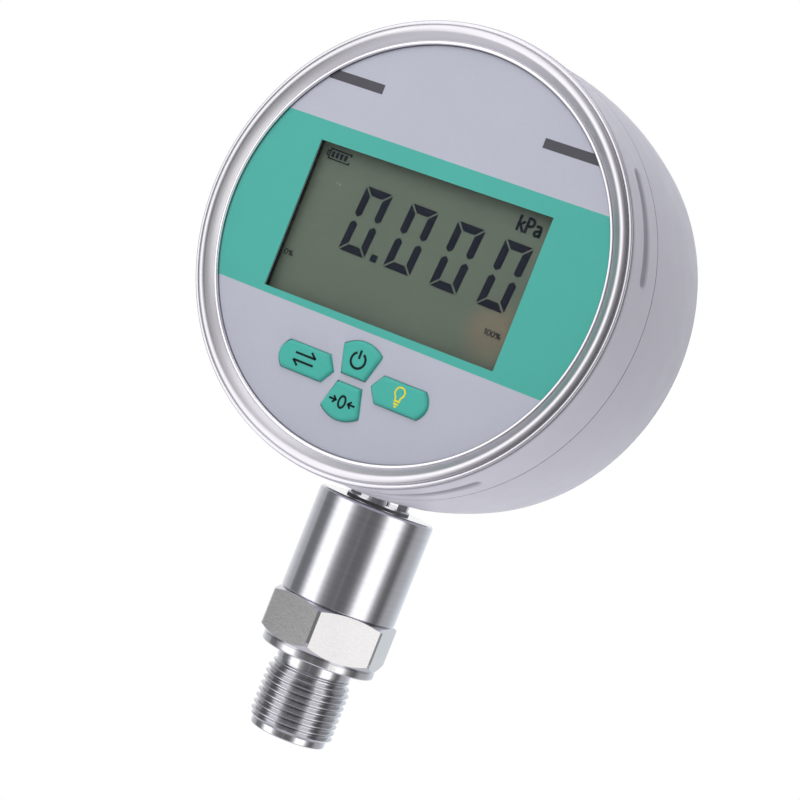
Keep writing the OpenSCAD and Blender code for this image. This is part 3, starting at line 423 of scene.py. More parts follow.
def field_finish():
    """Reflective display field: grey-green with a faint grain, painted shade at its rim under the window's
    edge, and a painted reflection, warmer in colour, in one corner.
    """
    f = Finish("display_field", Roughness=0.5, Specular_IOR_Level=0.1)
    x = f.math("SUBTRACT", f.x, WINDOW_X)
    # Painted shade at the rim, where the plate's edge overhangs the field
    rim_x = f.range(f.math("ABSOLUTE", x), WINDOW_W / 2 + 0.1, WINDOW_W / 2 + 0.35, 0.0, 1.0)
    rim_z = f.range(f.math("ABSOLUTE", f.case_z), WINDOW_H / 2 + 0.05, WINDOW_H / 2 + 0.3, 0.0, 1.0)
    rim = f.math("MAXIMUM", rim_x, rim_z)
    cloud = f.noise(14, 3, 0.55)
    grain = f.noise(0.3, 3, 0.6)
    tone = f.math("ADD", f.range(cloud, 0.3, 0.7, 0.95, 1.04), f.range(grain, 0.3, 0.7, -0.02, 0.02))
    # Painted reflection: a warmer patch at the lower right of the field
    corner_reflection = f.range(f.spot(24.5, -9.5), 2.0, 9.0, 0.85, 0.0, smooth=True)
    ground = f.mix(corner_reflection, rgb(100, 111, 99), rgb(124, 116, 100))
    f.to("Base Color", f.mix(rim, f.shade(ground, tone), rgb(52, 56, 50)))
    f.to("Roughness", f.range(cloud, 0.3, 0.7, 0.45, 0.55))
    return f.material


# Dust that lies on the window: place on the face and size
DUST = ((-22.3, 9.2, 0.2), (-24.6, -1.0, 0.14), (-21.0, 3.4, 0.13), (-24.2, 2.8, 0.12), (-30.0, 1.9, 0.12),
        (-9.5, -9.0, 0.1), (3.5, -11.5, 0.12), (12.0, 14.2, 0.1), (25.5, 3.0, 0.11))


def pane_finish():
    """Clear pane, mostly see-through, with a trace of dust."""
    f = Finish("clear_pane", Roughness=0.08, Alpha=0.03, Specular_IOR_Level=0.4)
    specks = 0.0
    for x, z, size in DUST:
        specks = f.math("MAXIMUM", f.range(f.spot(x, z), size * 0.6, size * 1.3, 1.0, 0.0), specks)
    haze = f.range(f.noise(5, 4, 0.6), 0.35, 0.75, 0.02, 0.045)
    f.to("Base Color", f.mix(specks, rgb(60, 64, 60), rgb(206, 206, 200)))
    f.to("Alpha", f.math("ADD", haze, f.math("MULTIPLY", specks, 0.55)))
    f.to("Roughness", f.range(f.noise(12, 2), 0.3, 0.7, 0.05, 0.12))
    return f.material


def plain_finish(name, colour, rough, size=1.0, vary=0.03, bump=0.004, specular=0.4, metal=0.0):
    """Moulded or printed surface with grain, drift and a rubbed roughness."""
    f = Finish(name, Metallic=metal, Specular_IOR_Level=specular)
    grain = f.noise(size * 0.4, 3, 0.6)
    drift = f.noise(size * 8, 2)
    tone = f.math("ADD", f.range(grain, 0.3, 0.7, 1 - vary, 1 + vary), f.range(drift, 0.3, 0.7, -vary, vary))
    f.to("Base Color", f.shade(colour, tone))
    f.to("Roughness", f.range(drift, 0.3, 0.7, rough - 0.05, rough + 0.05))
    f.to("Normal", f.bump(grain, bump, 0.6))
    return f.material


# Sizes that the finishes share with the pieces
FACE_R, BEZEL_R = 45.8, 50.9
FRONT_AT, FRONT_HALF = 49.05, 0.82
WALL_R, WALL_SLOPE = 51.2, 0.034
SCOOP_FRONT, SCOOP_BACK = 5.1, 9.3
SEAM_AT, SEAM_SHADE_SOFT = 14.0, 0.2
CORNER_SHADE_REACH = 8.0
HEX_LOW, HEX_TOP = 17.75, 28.8
COLLAR_R, COLLAR_LOW = 13.5, 15.75
THREAD_R, PITCH, THREAD_CUT = 10.0, 1.5, 0.92
THREAD_LOW, THREAD_HIGH = -1.35, 13.35
SENSOR_TOP = 53.4
HEX_HALF, HEX_TURN = 13.5, math.radians(13.6)
STEEP_OUT, STEEP_DOWN = 0.82, 0.57

# The face, as measured on the photograph
WINDOW_X = -0.4
WINDOW_W = 58.9
WINDOW_H = 34.2
LABEL_LEAN = 0.0075
BAND_LOW, BAND_HIGH = -18.85, 21.25
BAR_LOW, BAR_HIGH = 30.35, 32.55
BAR_LEFT, BAR_RIGHT = -19.8, 20.7

finishes = {
    "housing_paint": paint_finish(),
    "bezel_metal": bezel_finish(),
    "plate_plastic": plain_finish("plate_plastic", rgb(160, 160, 170), 0.5),
    "label_film": label_finish(),
    "clear_pane": pane_finish(),
    "display_field": field_finish(),
    "display_ink": plain_finish("display_ink", rgb(30, 33, 44), 0.5, 0.6, specular=0.05),
    "light_panel": plain_finish("light_panel", rgb(232, 235, 228), 0.5),
    "key_rubber": rubber_finish(),
    "plunger_plastic": plain_finish("plunger_plastic", rgb(190, 160, 110), 0.45),
    "black_plastic": plain_finish("black_plastic", rgb(38, 38, 40), 0.45),
    "black_rubber": plain_finish("black_rubber", rgb(74, 74, 77), 0.65, bump=0.01),
    "seal_rubber": plain_finish("seal_rubber", rgb(128, 128, 131), 0.6, bump=0.01),
    "board_laminate": plain_finish("board_laminate", rgb(30, 92, 58), 0.35, 2.0),
    "screw_steel": screw_finish(),
    "cell_wrap": plain_finish("cell_wrap", rgb(48, 74, 110), 0.3, 2.0),
    "contact_metal": contact_finish(),
    "stem_steel": stem_finish(),
    "sensor_steel": sensor_finish(),
    "connection_steel": connection_finish(),
    "lead_sheath": plain_finish("lead_sheath", rgb(44, 44, 46), 0.5),
    "plug_plastic": plain_finish("plug_plastic", rgb(226, 222, 206), 0.45),
}
for part in frame["record"]["subparts"]:
    piece = nodes[part["node"]]
    if not piece.material_slots:
        piece.data.materials.append(None)
    for material_slot in piece.material_slots:
        material_slot.material = finishes[part["material_slot"]]

nodes["neck_foot_seal"].material_slots[0].material = finishes["seal_rubber"]

# Bezel: its lip, crease, beads, seat and skirt
PLATE_D = 1.05
LIP_IN, LIP_FLAT, LIP_OUT = 0.3, 0.28, 0.18
CREASE_D, CREASE_W, SLOPE_D = 0.24, 0.08, 0.12
FRONT_R = 1.7
EDGE_AT, EDGE_R, EDGE_ROUND, EDGE_LEAN = 50.5, 1.2, 0.232, math.radians(10)
BEAD_H, EDGE_H = 1.5, 0.75
SEAT_D, SEAT_IN = 0.3, 0.2
SKIRT_IN, SKIRT_OUT, SKIRT_END = 48.05, 48.85, 4.5


def bezel():
    """Rolled lip, crease, slope, front bead, edge bead and the skirt that holds the ring."""
    span = math.degrees(math.asin(FRONT_HALF / FRONT_R))
    outline = [(FACE_R, PLATE_D)]
    outline += arc((FACE_R + LIP_IN, LIP_IN), LIP_IN, 180, 270, 10)
    outline += arc((FACE_R + LIP_IN + LIP_FLAT, LIP_OUT), LIP_OUT, 270, 325, 6)
    crease = FACE_R + LIP_IN + LIP_FLAT + LIP_OUT
    outline += [(crease, CREASE_D), (crease + CREASE_W, SLOPE_D)]
    outline += arc((FRONT_AT, FRONT_R - BEAD_H), FRONT_R, 270 - span, 270 + span, 28)
    outline += arc((EDGE_AT, EDGE_R - EDGE_H), EDGE_R, 245, 280, 14)
    inner = EDGE_R - EDGE_ROUND
    outline += arc((EDGE_AT + inner * math.sin(EDGE_LEAN), EDGE_R - EDGE_H - inner * math.cos(EDGE_LEAN)),
                   EDGE_ROUND, 290, 370, 10)
    outline += [(BEZEL_R - SEAT_IN, SEAT_D), (SKIRT_OUT, SEAT_D), (SKIRT_OUT, SKIRT_END),
                (SKIRT_IN, SKIRT_END), (SKIRT_IN, PLATE_D)]
    verts, faces = [], []
    turned(outline, 360, case_turn, verts, faces)
    place(make("bezel_turned", verts, faces, 28), "gauge", "bezel_metal", finishes["bezel_metal"], "bezel_ring")


# Stem: sensor housing, hexagon, collar, thread, pilot and port
SENSOR_R, SENSOR_LOW = 13.75, 28.8
SENSOR_ROUND, SENSOR_FOOT = 0.9, 0.3
NECK_BORE, CELL_BORE, JOINT_BORE = 6.05, 9.05, 10.45
ROOF_T, CELL_LOW = 2.6, 41.2
HIDDEN_R = 5.0
HEX_START, HEX_OVER = 0.3, 0.05
HEX_CHAMFER_LOW, HEX_CHAMFER_TOP = 1.75, 1.25
HEX_EDGE = 0.23
COLLAR_ROUND, COLLAR_BEVEL = 0.5, 0.3
CREST, FLANK = 0.1875, 0.6
THREAD_PHASE = 0.87
RELIEF_R, RELIEF_ROUND = 8.85, 0.35
LEAD_IN, RUN_OUT = 1.2, 0.4
CORE_R, CORE_OVER, CORE_FOOT = 8.55, 0.02, 0.8
PILOT_R, PILOT_LOW, PILOT_ROUND = 8.95, -2.9, 0.35
PORT_R = 2.0
SPIGOT_R, SPIGOT_H = 10.4, 5.7


def sensor_housing():
    """Turned shell with a rounded top edge, open below and at the neck."""
    outline = [(JOINT_BORE, SENSOR_LOW), (SENSOR_R - SENSOR_FOOT, SENSOR_LOW)]
    outline += arc((SENSOR_R - SENSOR_FOOT, SENSOR_LOW + SENSOR_FOOT), SENSOR_FOOT, -90, 0, 6)[1:]
    outline += arc((SENSOR_R - SENSOR_ROUND, SENSOR_TOP - SENSOR_ROUND), SENSOR_ROUND, 0, 90, 12)
    outline += [(NECK_BORE, SENSOR_TOP), (NECK_BORE, SENSOR_TOP - ROOF_T), (CELL_BORE, SENSOR_TOP - ROOF_T),
                (CELL_BORE, CELL_LOW), (JOINT_BORE, CELL_LOW)]
    verts, faces = [], []
    turned(outline, 240, stem_turn, verts, faces)
    place(make("sensor_shell", verts, faces), "gauge", "sensor_steel",
          finishes["sensor_steel"], "sensor_housing")


def hexagon(verts, faces):
    """Hexagon with its corners turned off by a cone at each end and its upright edges broken."""
    corner = HEX_HALF / math.cos(math.pi / 6)
    start = HEX_HALF - HEX_START
    slope_low = HEX_CHAMFER_LOW / (corner + HEX_OVER - start)
    slope_top = HEX_CHAMFER_TOP / (corner + HEX_OVER - start)
    flat_half = math.atan((corner / 2 - 2 * HEX_EDGE) / HEX_HALF)
    steps = 28
    offset = len(verts)
    segments = 0
    for side in range(6):
        turns = [flat_half * (2 * i / steps - 1) for i in range(steps + 1)] + [math.pi / 6]
        for turn in turns:
            reach = min(HEX_HALF / math.cos(turn), (corner - HEX_EDGE) / math.cos(math.pi / 6 - abs(turn)))
            rise = reach - start
            column = [(HIDDEN_R, HEX_LOW), (start, HEX_LOW), (reach, HEX_LOW + rise * slope_low),
                      (reach, HEX_TOP - rise * slope_top), (start, HEX_TOP), (HIDDEN_R, HEX_TOP)]
            verts += [stem_turn(r, side * math.pi / 3 + turn + HEX_TURN, h) for r, h in column]
            segments += 1
    faces += ring_faces(segments, 6, offset=offset)


def ridge(u):
    """Radius of the thread at a place within one pitch, counted from the crest's start."""
    u %= PITCH
    if u <= CREST:
        return THREAD_R
    if u <= CREST + FLANK:
        return THREAD_R - THREAD_CUT * (u - CREST) / FLANK
    if u >= PITCH - FLANK:
        return THREAD_R - THREAD_CUT * (PITCH - u) / FLANK
    return THREAD_R - THREAD_CUT


def thread(verts, faces):
    """Right-hand helix, cut off by a cone at both ends."""
    columns, per_pitch = 216, 24
    low, high = THREAD_LOW, THREAD_HIGH
    rows = int((high - low) / PITCH * per_pitch) + 2 * per_pitch
    offset = len(verts)
    count = rows + 2
    for i in range(columns):
        share = i / columns
        a = TURN * share
        column = []
        for k in range(rows):
            u = (k / per_pitch - 1) * PITCH
            z = low + u + share * PITCH
            r = ridge(u + low - THREAD_PHASE)
            r -= max(0.0, THREAD_R - RELIEF_R - (high - z) * RUN_OUT)
            r = min(max(r, CORE_R + CORE_OVER), PILOT_R + (z - low) * LEAD_IN)
            if z <= low:
                z, r = low, PILOT_R - CORE_OVER
            elif z >= high:
                z, r = high, CORE_R + CORE_OVER
            column.append(stem_turn(r, a, z))
        column += [stem_turn(HIDDEN_R, a, high), stem_turn(HIDDEN_R, a, low)]
        verts += column
    for i in range(columns - 1):
        for k in range(count):
            m = (k + 1) % count
            faces.append((offset + i * count + k, offset + (i + 1) * count + k,
                          offset + (i + 1) * count + m, offset + i * count + m))
    # Over the seam each row goes on in the row one pitch higher
    last = offset + (columns - 1) * count
    for k in range(rows - 1):
        a, b = min(k + per_pitch, rows - 1), min(k + 1 + per_pitch, rows - 1)
        faces.append((last + k, offset + a, offset + b, last + k + 1))
    faces.append((offset + per_pitch, offset, last, last))
    for k, m in ((rows - 1, rows), (rows, rows + 1), (rows + 1, 0)):
        faces.append((last + k, offset + k, offset + m, last + m))


def connection():
    """Pilot, thread core, relief, collar and spigot as one turned solid, with the hexagon and the thread."""
    verts, faces = [], []
    outline = [(PORT_R, PILOT_LOW), (PILOT_R - PILOT_ROUND, PILOT_LOW)]
    outline += arc((PILOT_R - PILOT_ROUND, PILOT_LOW + PILOT_ROUND), PILOT_ROUND, -90, 0, 6)[1:]
    outline += [(PILOT_R, THREAD_LOW), (CORE_R, THREAD_LOW + CORE_FOOT), (CORE_R, THREAD_HIGH + 0.25),
                (RELIEF_R, THREAD_HIGH + 0.3)]
    outline += arc((RELIEF_R + RELIEF_ROUND, COLLAR_LOW - RELIEF_ROUND), RELIEF_ROUND, 180, 90, 8)
    outline += arc((COLLAR_R - COLLAR_ROUND, COLLAR_LOW + COLLAR_ROUND), COLLAR_ROUND, -90, 0, 8)
    outline += [(COLLAR_R, HEX_LOW - COLLAR_BEVEL), (COLLAR_R - COLLAR_BEVEL, HEX_LOW - 0.02)]
    outline += [(COLLAR_R - COLLAR_BEVEL, HEX_LOW + 0.05), (SPIGOT_R, HEX_LOW + 0.05),
                (SPIGOT_R, HEX_TOP + SPIGOT_H), (PORT_R, HEX_TOP + SPIGOT_H)]
    turned(outline, 240, stem_turn, verts, faces)
    hexagon(verts, faces)
    thread(verts, faces)
    place(make("connection_turned", verts, faces, 26), "gauge", "connection_steel",
          finishes["connection_steel"], "pressure_connection")


# Keys, drawn about the middle of their cross
CROSS_X, CROSS_Z = -0.8, -29.8
KEY_D, FLANGE_D, FLANGE_END, KEY_FOOT = 0.0, 3.05, 3.85, 5.7
KEY_SKIRT, KEY_CORNER, KEY_FLANGE = 0.12, 0.55, 0.6
BOSS_R, BOSS_SINK = 2.0, 0.3
# Each key with the middle of the boss behind it
KEYS = {"left": (-12.0, 0.5), "top": (0, 4.9), "bottom": (0, -4.9), "right": (12.0, 0.5)}
# Inset and depth of the rings that make a key's skirt and its soft edge
KEY_RINGS = ((-KEY_SKIRT, FLANGE_D), (-KEY_SKIRT, 0.86), (-KEY_SKIRT / 2, 0.82), (0, 0.8), (0.02, 0.6),
             (0.06, 0.42), (0.13, 0.27), (0.24, 0.15), (0.4, 0.07), (0.6, 0.02), (0.85, 0))


def rounded(points, radius, steps=5):
    """Outline with its corners rounded."""
    out = []
    count = len(points)
    for i in range(count):
        before, here, after = (Vector(points[j % count]) for j in (i - 1, i, i + 1))
        a, b = (before - here), (after - here)
        la, lb = a.length, b.length
        a.normalize()
        b.normalize()
        angle = a.angle(b)
        if angle > math.radians(168):
            out.append(here[:])
            continue
        reach = min(radius / math.tan(angle / 2), la * 0.45, lb * 0.45)
        p, q = here + a * reach, here + b * reach
        for k in range(steps + 1):
            t = k / steps
            out.append((p * (1 - t) ** 2 + here * 2 * t * (1 - t) + q * t ** 2)[:])
    return out


def bulge(half, height, steps=16):
    return [(height * (1 - t * t), half * t) for t in (1 - 2 * i / steps for i in range(steps + 1))]


def key_line(which):
    """Outline of a key as in the CAD source, turned to its place in the cross."""
    if which in ("left", "right"):
        near, long, high, point, out, corner, rise = 4.9, 14.2, 6.1, 2.1, 1.1, 0.6, 0.5
        end, half = near + long - out, high / 2
        line = [(near, 0), (near + point, -half), (end - corner, -half)]
        line += [(end + x, -y) for x, y in bulge(half - corner, out)]
        line += [(end - corner, half), (near + point, half)]
        side = 1 if which == "right" else -1
        return [(side * x, y + rise) for x, y in line]
    near, high, wide, narrow, out, corner = 1.0, 7.8, 9.8, 6.0, 1.75, 0.6
    end, half = near + high - out, wide / 2
    line = [(-narrow / 2, near), (narrow / 2, near), (half - corner / 4, end - corner)]
    line += [(y, end + x) for x, y in bulge(half - corner / 4, out)]
    line += [(-half + corner / 4, end - corner)]
    side = 1 if which == "top" else -1
    return [(x, side * y) for x, y in line]


def inset(line, amount):
    """Outline moved inwards by an even amount, its corners kept."""
    count = len(line)
    area = sum(line[i - 1][0] * line[i][1] - line[i][0] * line[i - 1][1] for i in range(count))
    way = 1 if area > 0 else -1
    out = []
    for i in range(count):
        before, here, after = (Vector(line[j % count]) for j in (i - 1, i, i + 1))
        n = Vector((0, 0))
        for d in (here - before, after - here):
            if d.length > 1e-9:
                d.normalize()
                n += Vector((-d.y, d.x))
        out.append((here + n * way * amount * 2 / n.length_squared)[:])
    return out


def key(which):
    """Cap with a soft edge, a flange behind the plate and a boss that meets the plunger."""
    line = key_line(which)
    verts, faces = [], []
    count = len(rounded(line, KEY_CORNER))
    for amount, depth in KEY_RINGS:
        edge = rounded(inset(line, amount), max(KEY_CORNER - amount, 0.15))
        verts += [case_point(CROSS_X + x, CROSS_Z + z, KEY_D + depth) for x, z in edge]
    for k in range(len(KEY_RINGS) - 1):
        for i in range(count):
            j = (i + 1) % count
            faces.append((k * count + i, k * count + j, (k + 1) * count + j, (k + 1) * count + i))
    top, hub = (len(KEY_RINGS) - 1) * count, len(verts)
    middle = sum((Vector(p) for p in line), Vector((0, 0))) / len(line)
    verts.append(case_point(CROSS_X + middle.x, CROSS_Z + middle.y, KEY_D))
    for i in range(count):
        faces.append((top + i, top + (i + 1) % count, hub))
    # Flange
    grown = rounded(inset(line, -KEY_FLANGE), KEY_CORNER)
    first = len(verts)
    for depth in (FLANGE_D, FLANGE_END):
        verts += [case_point(CROSS_X + x, CROSS_Z + z, depth) for x, z in grown]
    for i in range(count):
        j = (i + 1) % count
        faces.append((first + i, first + j, first + count + j, first + count + i))
        faces.append((i, j, first + j, first + i))
    faces.append(tuple(first + count + i for i in range(count)))
    # Boss
    first = len(verts)
    steps = 40
    for depth in (FLANGE_END - BOSS_SINK, KEY_FOOT):
        verts += [case_point(CROSS_X + x, CROSS_Z + z, depth)
                  for x, z in arc(KEYS[which], BOSS_R, 0, 360 - 360 / steps, steps - 1)]
    for i in range(steps):
        j = (i + 1) % steps
        faces.append((first + i, first + j, first + steps + j, first + steps + i))
    faces.append(tuple(first + i for i in range(steps)))
    faces.append(tuple(first + steps + i for i in range(steps)))
    place(make("key_cap_" + which, verts, faces, 40), which + "_key", "key_rubber", finishes["key_rubber"],
          "key_" + which)


# Flat printed marks, made of strokes in the plane of the face
def stroke(points, width, closed=False):
    """Left and right edge points of a line of even width."""
    pts = [Vector(p) for p in points]
    count = len(pts)
    pairs = []
    for i, p in enumerate(pts):
        if closed:
            before, after = pts[i - 1], pts[(i + 1) % count]
        else:
            before, after = pts[max(i - 1, 0)], pts[min(i + 1, count - 1)]
        a, b = p - before, after - p
        a = a.normalized() if a.length > 1e-9 else b.normalized()
        b = b.normalized() if b.length > 1e-9 else a
        n = Vector((-a.y - b.y, a.x + b.x)).normalized()
        grow = 1 / max(n.dot(Vector((-a.y, a.x))), 0.5)
        pairs.append((p + n * width / 2 * grow, p - n * width / 2 * grow))
    return pairs, closed


def marks(name, strokes, front, back, body, slot, finish, move, turn=0.0, size=1.0):
    """Thin plates that follow strokes, between two depths."""
    verts, faces = [], []
    c, s = math.cos(turn), math.sin(turn)

    def at(p, depth):
        x, z = p[0] * size, p[1] * size
        return case_point(move[0] + c * x - s * z, move[1] + s * x + c * z, depth)

    for pairs, closed in strokes:
        first = len(verts)
        count = len(pairs)
        for left, right in pairs:
            verts += [at(left, front), at(right, front), at(right, back), at(left, back)]
        for i in range(count if closed else count - 1):
            a, b = first + 4 * i, first + 4 * ((i + 1) % count)
            for k in range(4):
                m = (k + 1) % 4
                faces.append((a + k, b + k, b + m, a + m))
        if not closed:
            faces.append(tuple(first + k for k in range(4)))
            faces.append(tuple(first + 4 * (count - 1) + k for k in range(4)))
    return place(make(name, verts, faces, 30), body, slot, finish)


def oval(x, z, rx, rz, steps=28):
    return [(x + rx * math.cos(TURN * i / steps), z + rz * math.sin(TURN * i / steps)) for i in range(steps)]


def sign_strokes(text, width):
    """Strokes of plain scale figures and the unit, on a height of one."""
    shapes = {
        "0": ([(oval(0.3, 0.5, 0.24, 0.45), True)], 0.66),
        "1": ([([(0.08, 0.72), (0.3, 0.95), (0.3, 0.02)], False)], 0.5),
        "%": ([(oval(0.2, 0.74, 0.14, 0.18), True), (oval(0.66, 0.24, 0.14, 0.18), True),
               ([(0.2, 0.04), (0.66, 0.96)], False)], 0.9),
        "k": ([([(0.08, 0), (0.08, 1.0)], False), ([(0.1, 0.34), (0.46, 0.68)], False),
               ([(0.2, 0.42), (0.5, 0)], False)], 0.56),
        "P": ([([(0.08, 0), (0.08, 0.94), (0.3, 0.94), (0.43, 0.87), (0.49, 0.72), (0.43, 0.56), (0.3, 0.48),
                 (0.08, 0.48)], False)], 0.6),
        "a": ([([(0.08, 0.6), (0.2, 0.67), (0.36, 0.64), (0.43, 0.5), (0.43, 0)], False),
               ([(0.43, 0.38), (0.2, 0.36), (0.09, 0.26), (0.09, 0.14), (0.2, 0.05), (0.34, 0.08),
                 (0.43, 0.18)], False)], 0.5),
    }
    out, reach = [], 0.0
    for letter in text:
        lines, step = shapes[letter]
        for points, closed in lines:
            out.append(stroke([(x + reach, z) for x, z in points], width, closed))
        reach += step
    return out, reach


DISPLAY_TURN = math.radians(-1.4)
GLASS_D = 3.05


def display_marks():
    """Unit and the two ends of the scale bar, as plain figures."""
    for name, text, low, high, width in (("unit_mark", "kPa", (20.9, 12.9), (26.8, 16.4), 0.17),
                                         ("scale_end_high", "100%", (23.3, -9.8), (27.6, -8.5), 0.12),
                                         ("scale_end_low", "0%", (-28.9, -9.9), (-26.5, -8.6), 0.12)):
        strokes, reach = sign_strokes(text, width)
        size = high[1] - low[1]
        squeeze = (high[0] - low[0]) / (reach * size)
        strokes = [([(Vector((a.x * squeeze, a.y)), Vector((b.x * squeeze, b.y))) for a, b in pairs], closed)
                   for pairs, closed in strokes]
        c, s = math.cos(DISPLAY_TURN), math.sin(DISPLAY_TURN)
        move = (WINDOW_X + c * low[0] - s * low[1], s * low[0] + c * low[1])
        marks(name, strokes, GLASS_D - 0.1, GLASS_D - 0.005, "gauge", "display_ink", finishes["display_ink"],
              move, DISPLAY_TURN, size)


MARK_T = 0.06
symbol_ink = plain_finish("symbol_ink", rgb(24, 34, 36), 0.5, 0.6, specular=0.1)
symbol_yellow = plain_finish("symbol_yellow", rgb(226, 214, 58), 0.5, 0.6, specular=0.1)


def key_marks():
    """Symbols of the four keys: power, change, nought and lamp."""
    front, back = KEY_D - MARK_T / 2, KEY_D + MARK_T / 2
    power = [stroke(arc((0, 0), 1.75, 118, 422, 44), 0.55), stroke([(0, 0.35), (0, 2.3)], 0.55)]
    marks("mark_power", power, front, back, "top_key", "key_rubber", symbol_ink, (-0.73, -25.2))
    swap = []
    for side in (1, -1):
        swap.append(stroke([(-2.6 * side, 0.8 * side), (2.5 * side, 0.8 * side)], 0.5))
        swap.append(stroke([(1.2 * side, 1.9 * side), (2.65 * side, 0.72 * side)], 0.5))
    marks("mark_swap", swap, front, back, "left_key", "key_rubber", symbol_ink, (-13.05, -29.2))
    nought = [stroke(oval(0, 0, 0.8, 1.3), 0.5, True)]
    for side in (1, -1):
        nought.append(stroke([(3.3 * side, 0), (1.6 * side, 0)], 0.45))
        nought.append(stroke([(2.3 * side, 0.75), (1.55 * side, 0), (2.3 * side, -0.75)], 0.45))
    marks("mark_nought", nought, front, back, "bottom_key", "key_rubber", symbol_ink, (-0.7, -34.7))
    bulb = [stroke([(-0.5, -0.75), (-0.62, -0.25), (-1.1, 0.45), (-1.15, 1.2), (-0.75, 1.85), (0, 2.1),
                    (0.75, 1.85), (1.15, 1.2), (1.1, 0.45), (0.62, -0.25), (0.5, -0.75)], 0.36)]
    bulb += [stroke([(-half, z), (half, z)], 0.4) for half, z in ((0.75, -1.0), (0.6, -1.65), (0.3, -2.2))]
    marks("mark_light", bulb, front, back, "right_key", "key_rubber", symbol_yellow, (11.4, -29.2))


bezel()
sensor_housing()
connection()
for name in KEYS:
    key(name)
display_marks()
key_marks()


# Camera at the photograph's angle
def camera():
    azimuth, elevation, roll = 0.459611, 0.008441, 0.377548
    distance = 420.728868
    aim = Vector((11.988221, LIP_Y, CASE_Z - 29.682271))
    back = Vector((math.sin(azimuth) * math.cos(elevation), -math.cos(azimuth) * math.cos(elevation),
                   math.sin(elevation)))
    spot = aim + back * distance
    right = (-back).cross(Vector((0, 0, 1))).normalized()
    up = right.cross(-back)
    right, up = right * math.cos(roll) + up * math.sin(roll), up * math.cos(roll) - right * math.sin(roll)
    data = bpy.data.cameras.new("camera")
    data.lens = 90
    data.sensor_width = 36
    data.clip_start = 0.01
    data.clip_end = 20
    eye = bpy.data.objects.new("camera", data)
    bpy.context.scene.collection.objects.link(eye)
    turn = Matrix((right, up, back)).transposed()
    eye.matrix_world = Matrix.Translation(spot * MM) @ turn.to_4x4()
    bpy.context.scene.camera = eye


# Light: bearings are degrees to the right of the line from the stem to the camera
CAMERA_BEARING = -63.7
MIDDLE = Vector((0, 0, 0.08))

# What polished metal sees of the studio round it: bearing, brightness and how blue
STUDIO = ((-180, 1.0, 1.0), (-152, 0.85, 1.04), (-124, 0.5, 1.04), (-118, 0.52, 1.04),
          (-113, 0.24, 1.04), (-102, 0.2, 1.05), (-89, 0.24, 1.07), (-80, 0.72, 1.04),
          (-73, 1.5, 1.0), (-49, 1.6, 1.0), (-43, 0.8, 1.0), (-34, 0.34, 1.0), (-23, 0.2, 1.02),
          (-12, 0.18, 1.02), (-9, 0.25, 1.02), (-6, 0.17, 1.02), (4, 0.16, 1.02), (13, 0.2, 1.02),
          (23, 0.52, 1.0), (31, 1.5, 1.0), (56, 1.55, 1.0), (66, 0.5, 1.0), (76, 0.2, 1.0),
          (86, 0.15, 1.0), (101, 0.46, 1.03), (122, 0.55, 1.05), (152, 0.8, 1.16), (180, 1.0, 1.0))
STUDIO_TOP = 1.7
# Above the boxes the walls are duller, with one more box overhead, and the ground is pale
WALLS, OVERHEAD, GROUND = (0.56, 0.55, 0.58, 1), (1.7, 1.68, 1.72, 1), (0.74, 0.73, 0.78, 1)
WALLS_RISE, OVERHEAD_RISE, GROUND_FALL = (0.5, 0.82), (0.87, 0.94), (0.5, 0.8)
AMBIENT = 0.4

# Lamps: bearing, degrees above the horizon, distance and size in metres, power
LAMPS = {
    "lamp_left": (-50, 38, 0.6, 0.5, 2.05),
    "lamp_right": (80, 15, 1.2, 1.0, 3.6),
    "lamp_top": (-15, 70, 1.0, 0.9, 3.1),
    "lamp_low": (10, -82, 1.0, 0.5, 3.5),
    "lamp_back": (160, 20, 1.2, 0.8, 2.2),
}


def away(bearing, elevation):
    """Direction from the stem, by bearing and degrees above the horizon."""
    a, e = math.radians(CAMERA_BEARING + bearing), math.radians(elevation)
    return Vector((math.cos(a) * math.cos(e), math.sin(a) * math.cos(e), math.sin(e)))


def softbox(name, bearing, elevation, reach, size, power):
    """Square lamp that faces the middle of the object, and lights what isn't polished."""
    way = away(bearing, elevation)
    data = bpy.data.lights.new(name, "AREA")
    data.size = size
    data.energy = power
    lamp = bpy.data.objects.new(name, data)
    lamp.location = way * reach + MIDDLE
    lamp.rotation_euler = (-way).to_track_quat("-Z", "Y").to_euler()
    lamp.visible_camera = False
    lamp.visible_glossy = False
    bpy.context.scene.collection.objects.link(lamp)


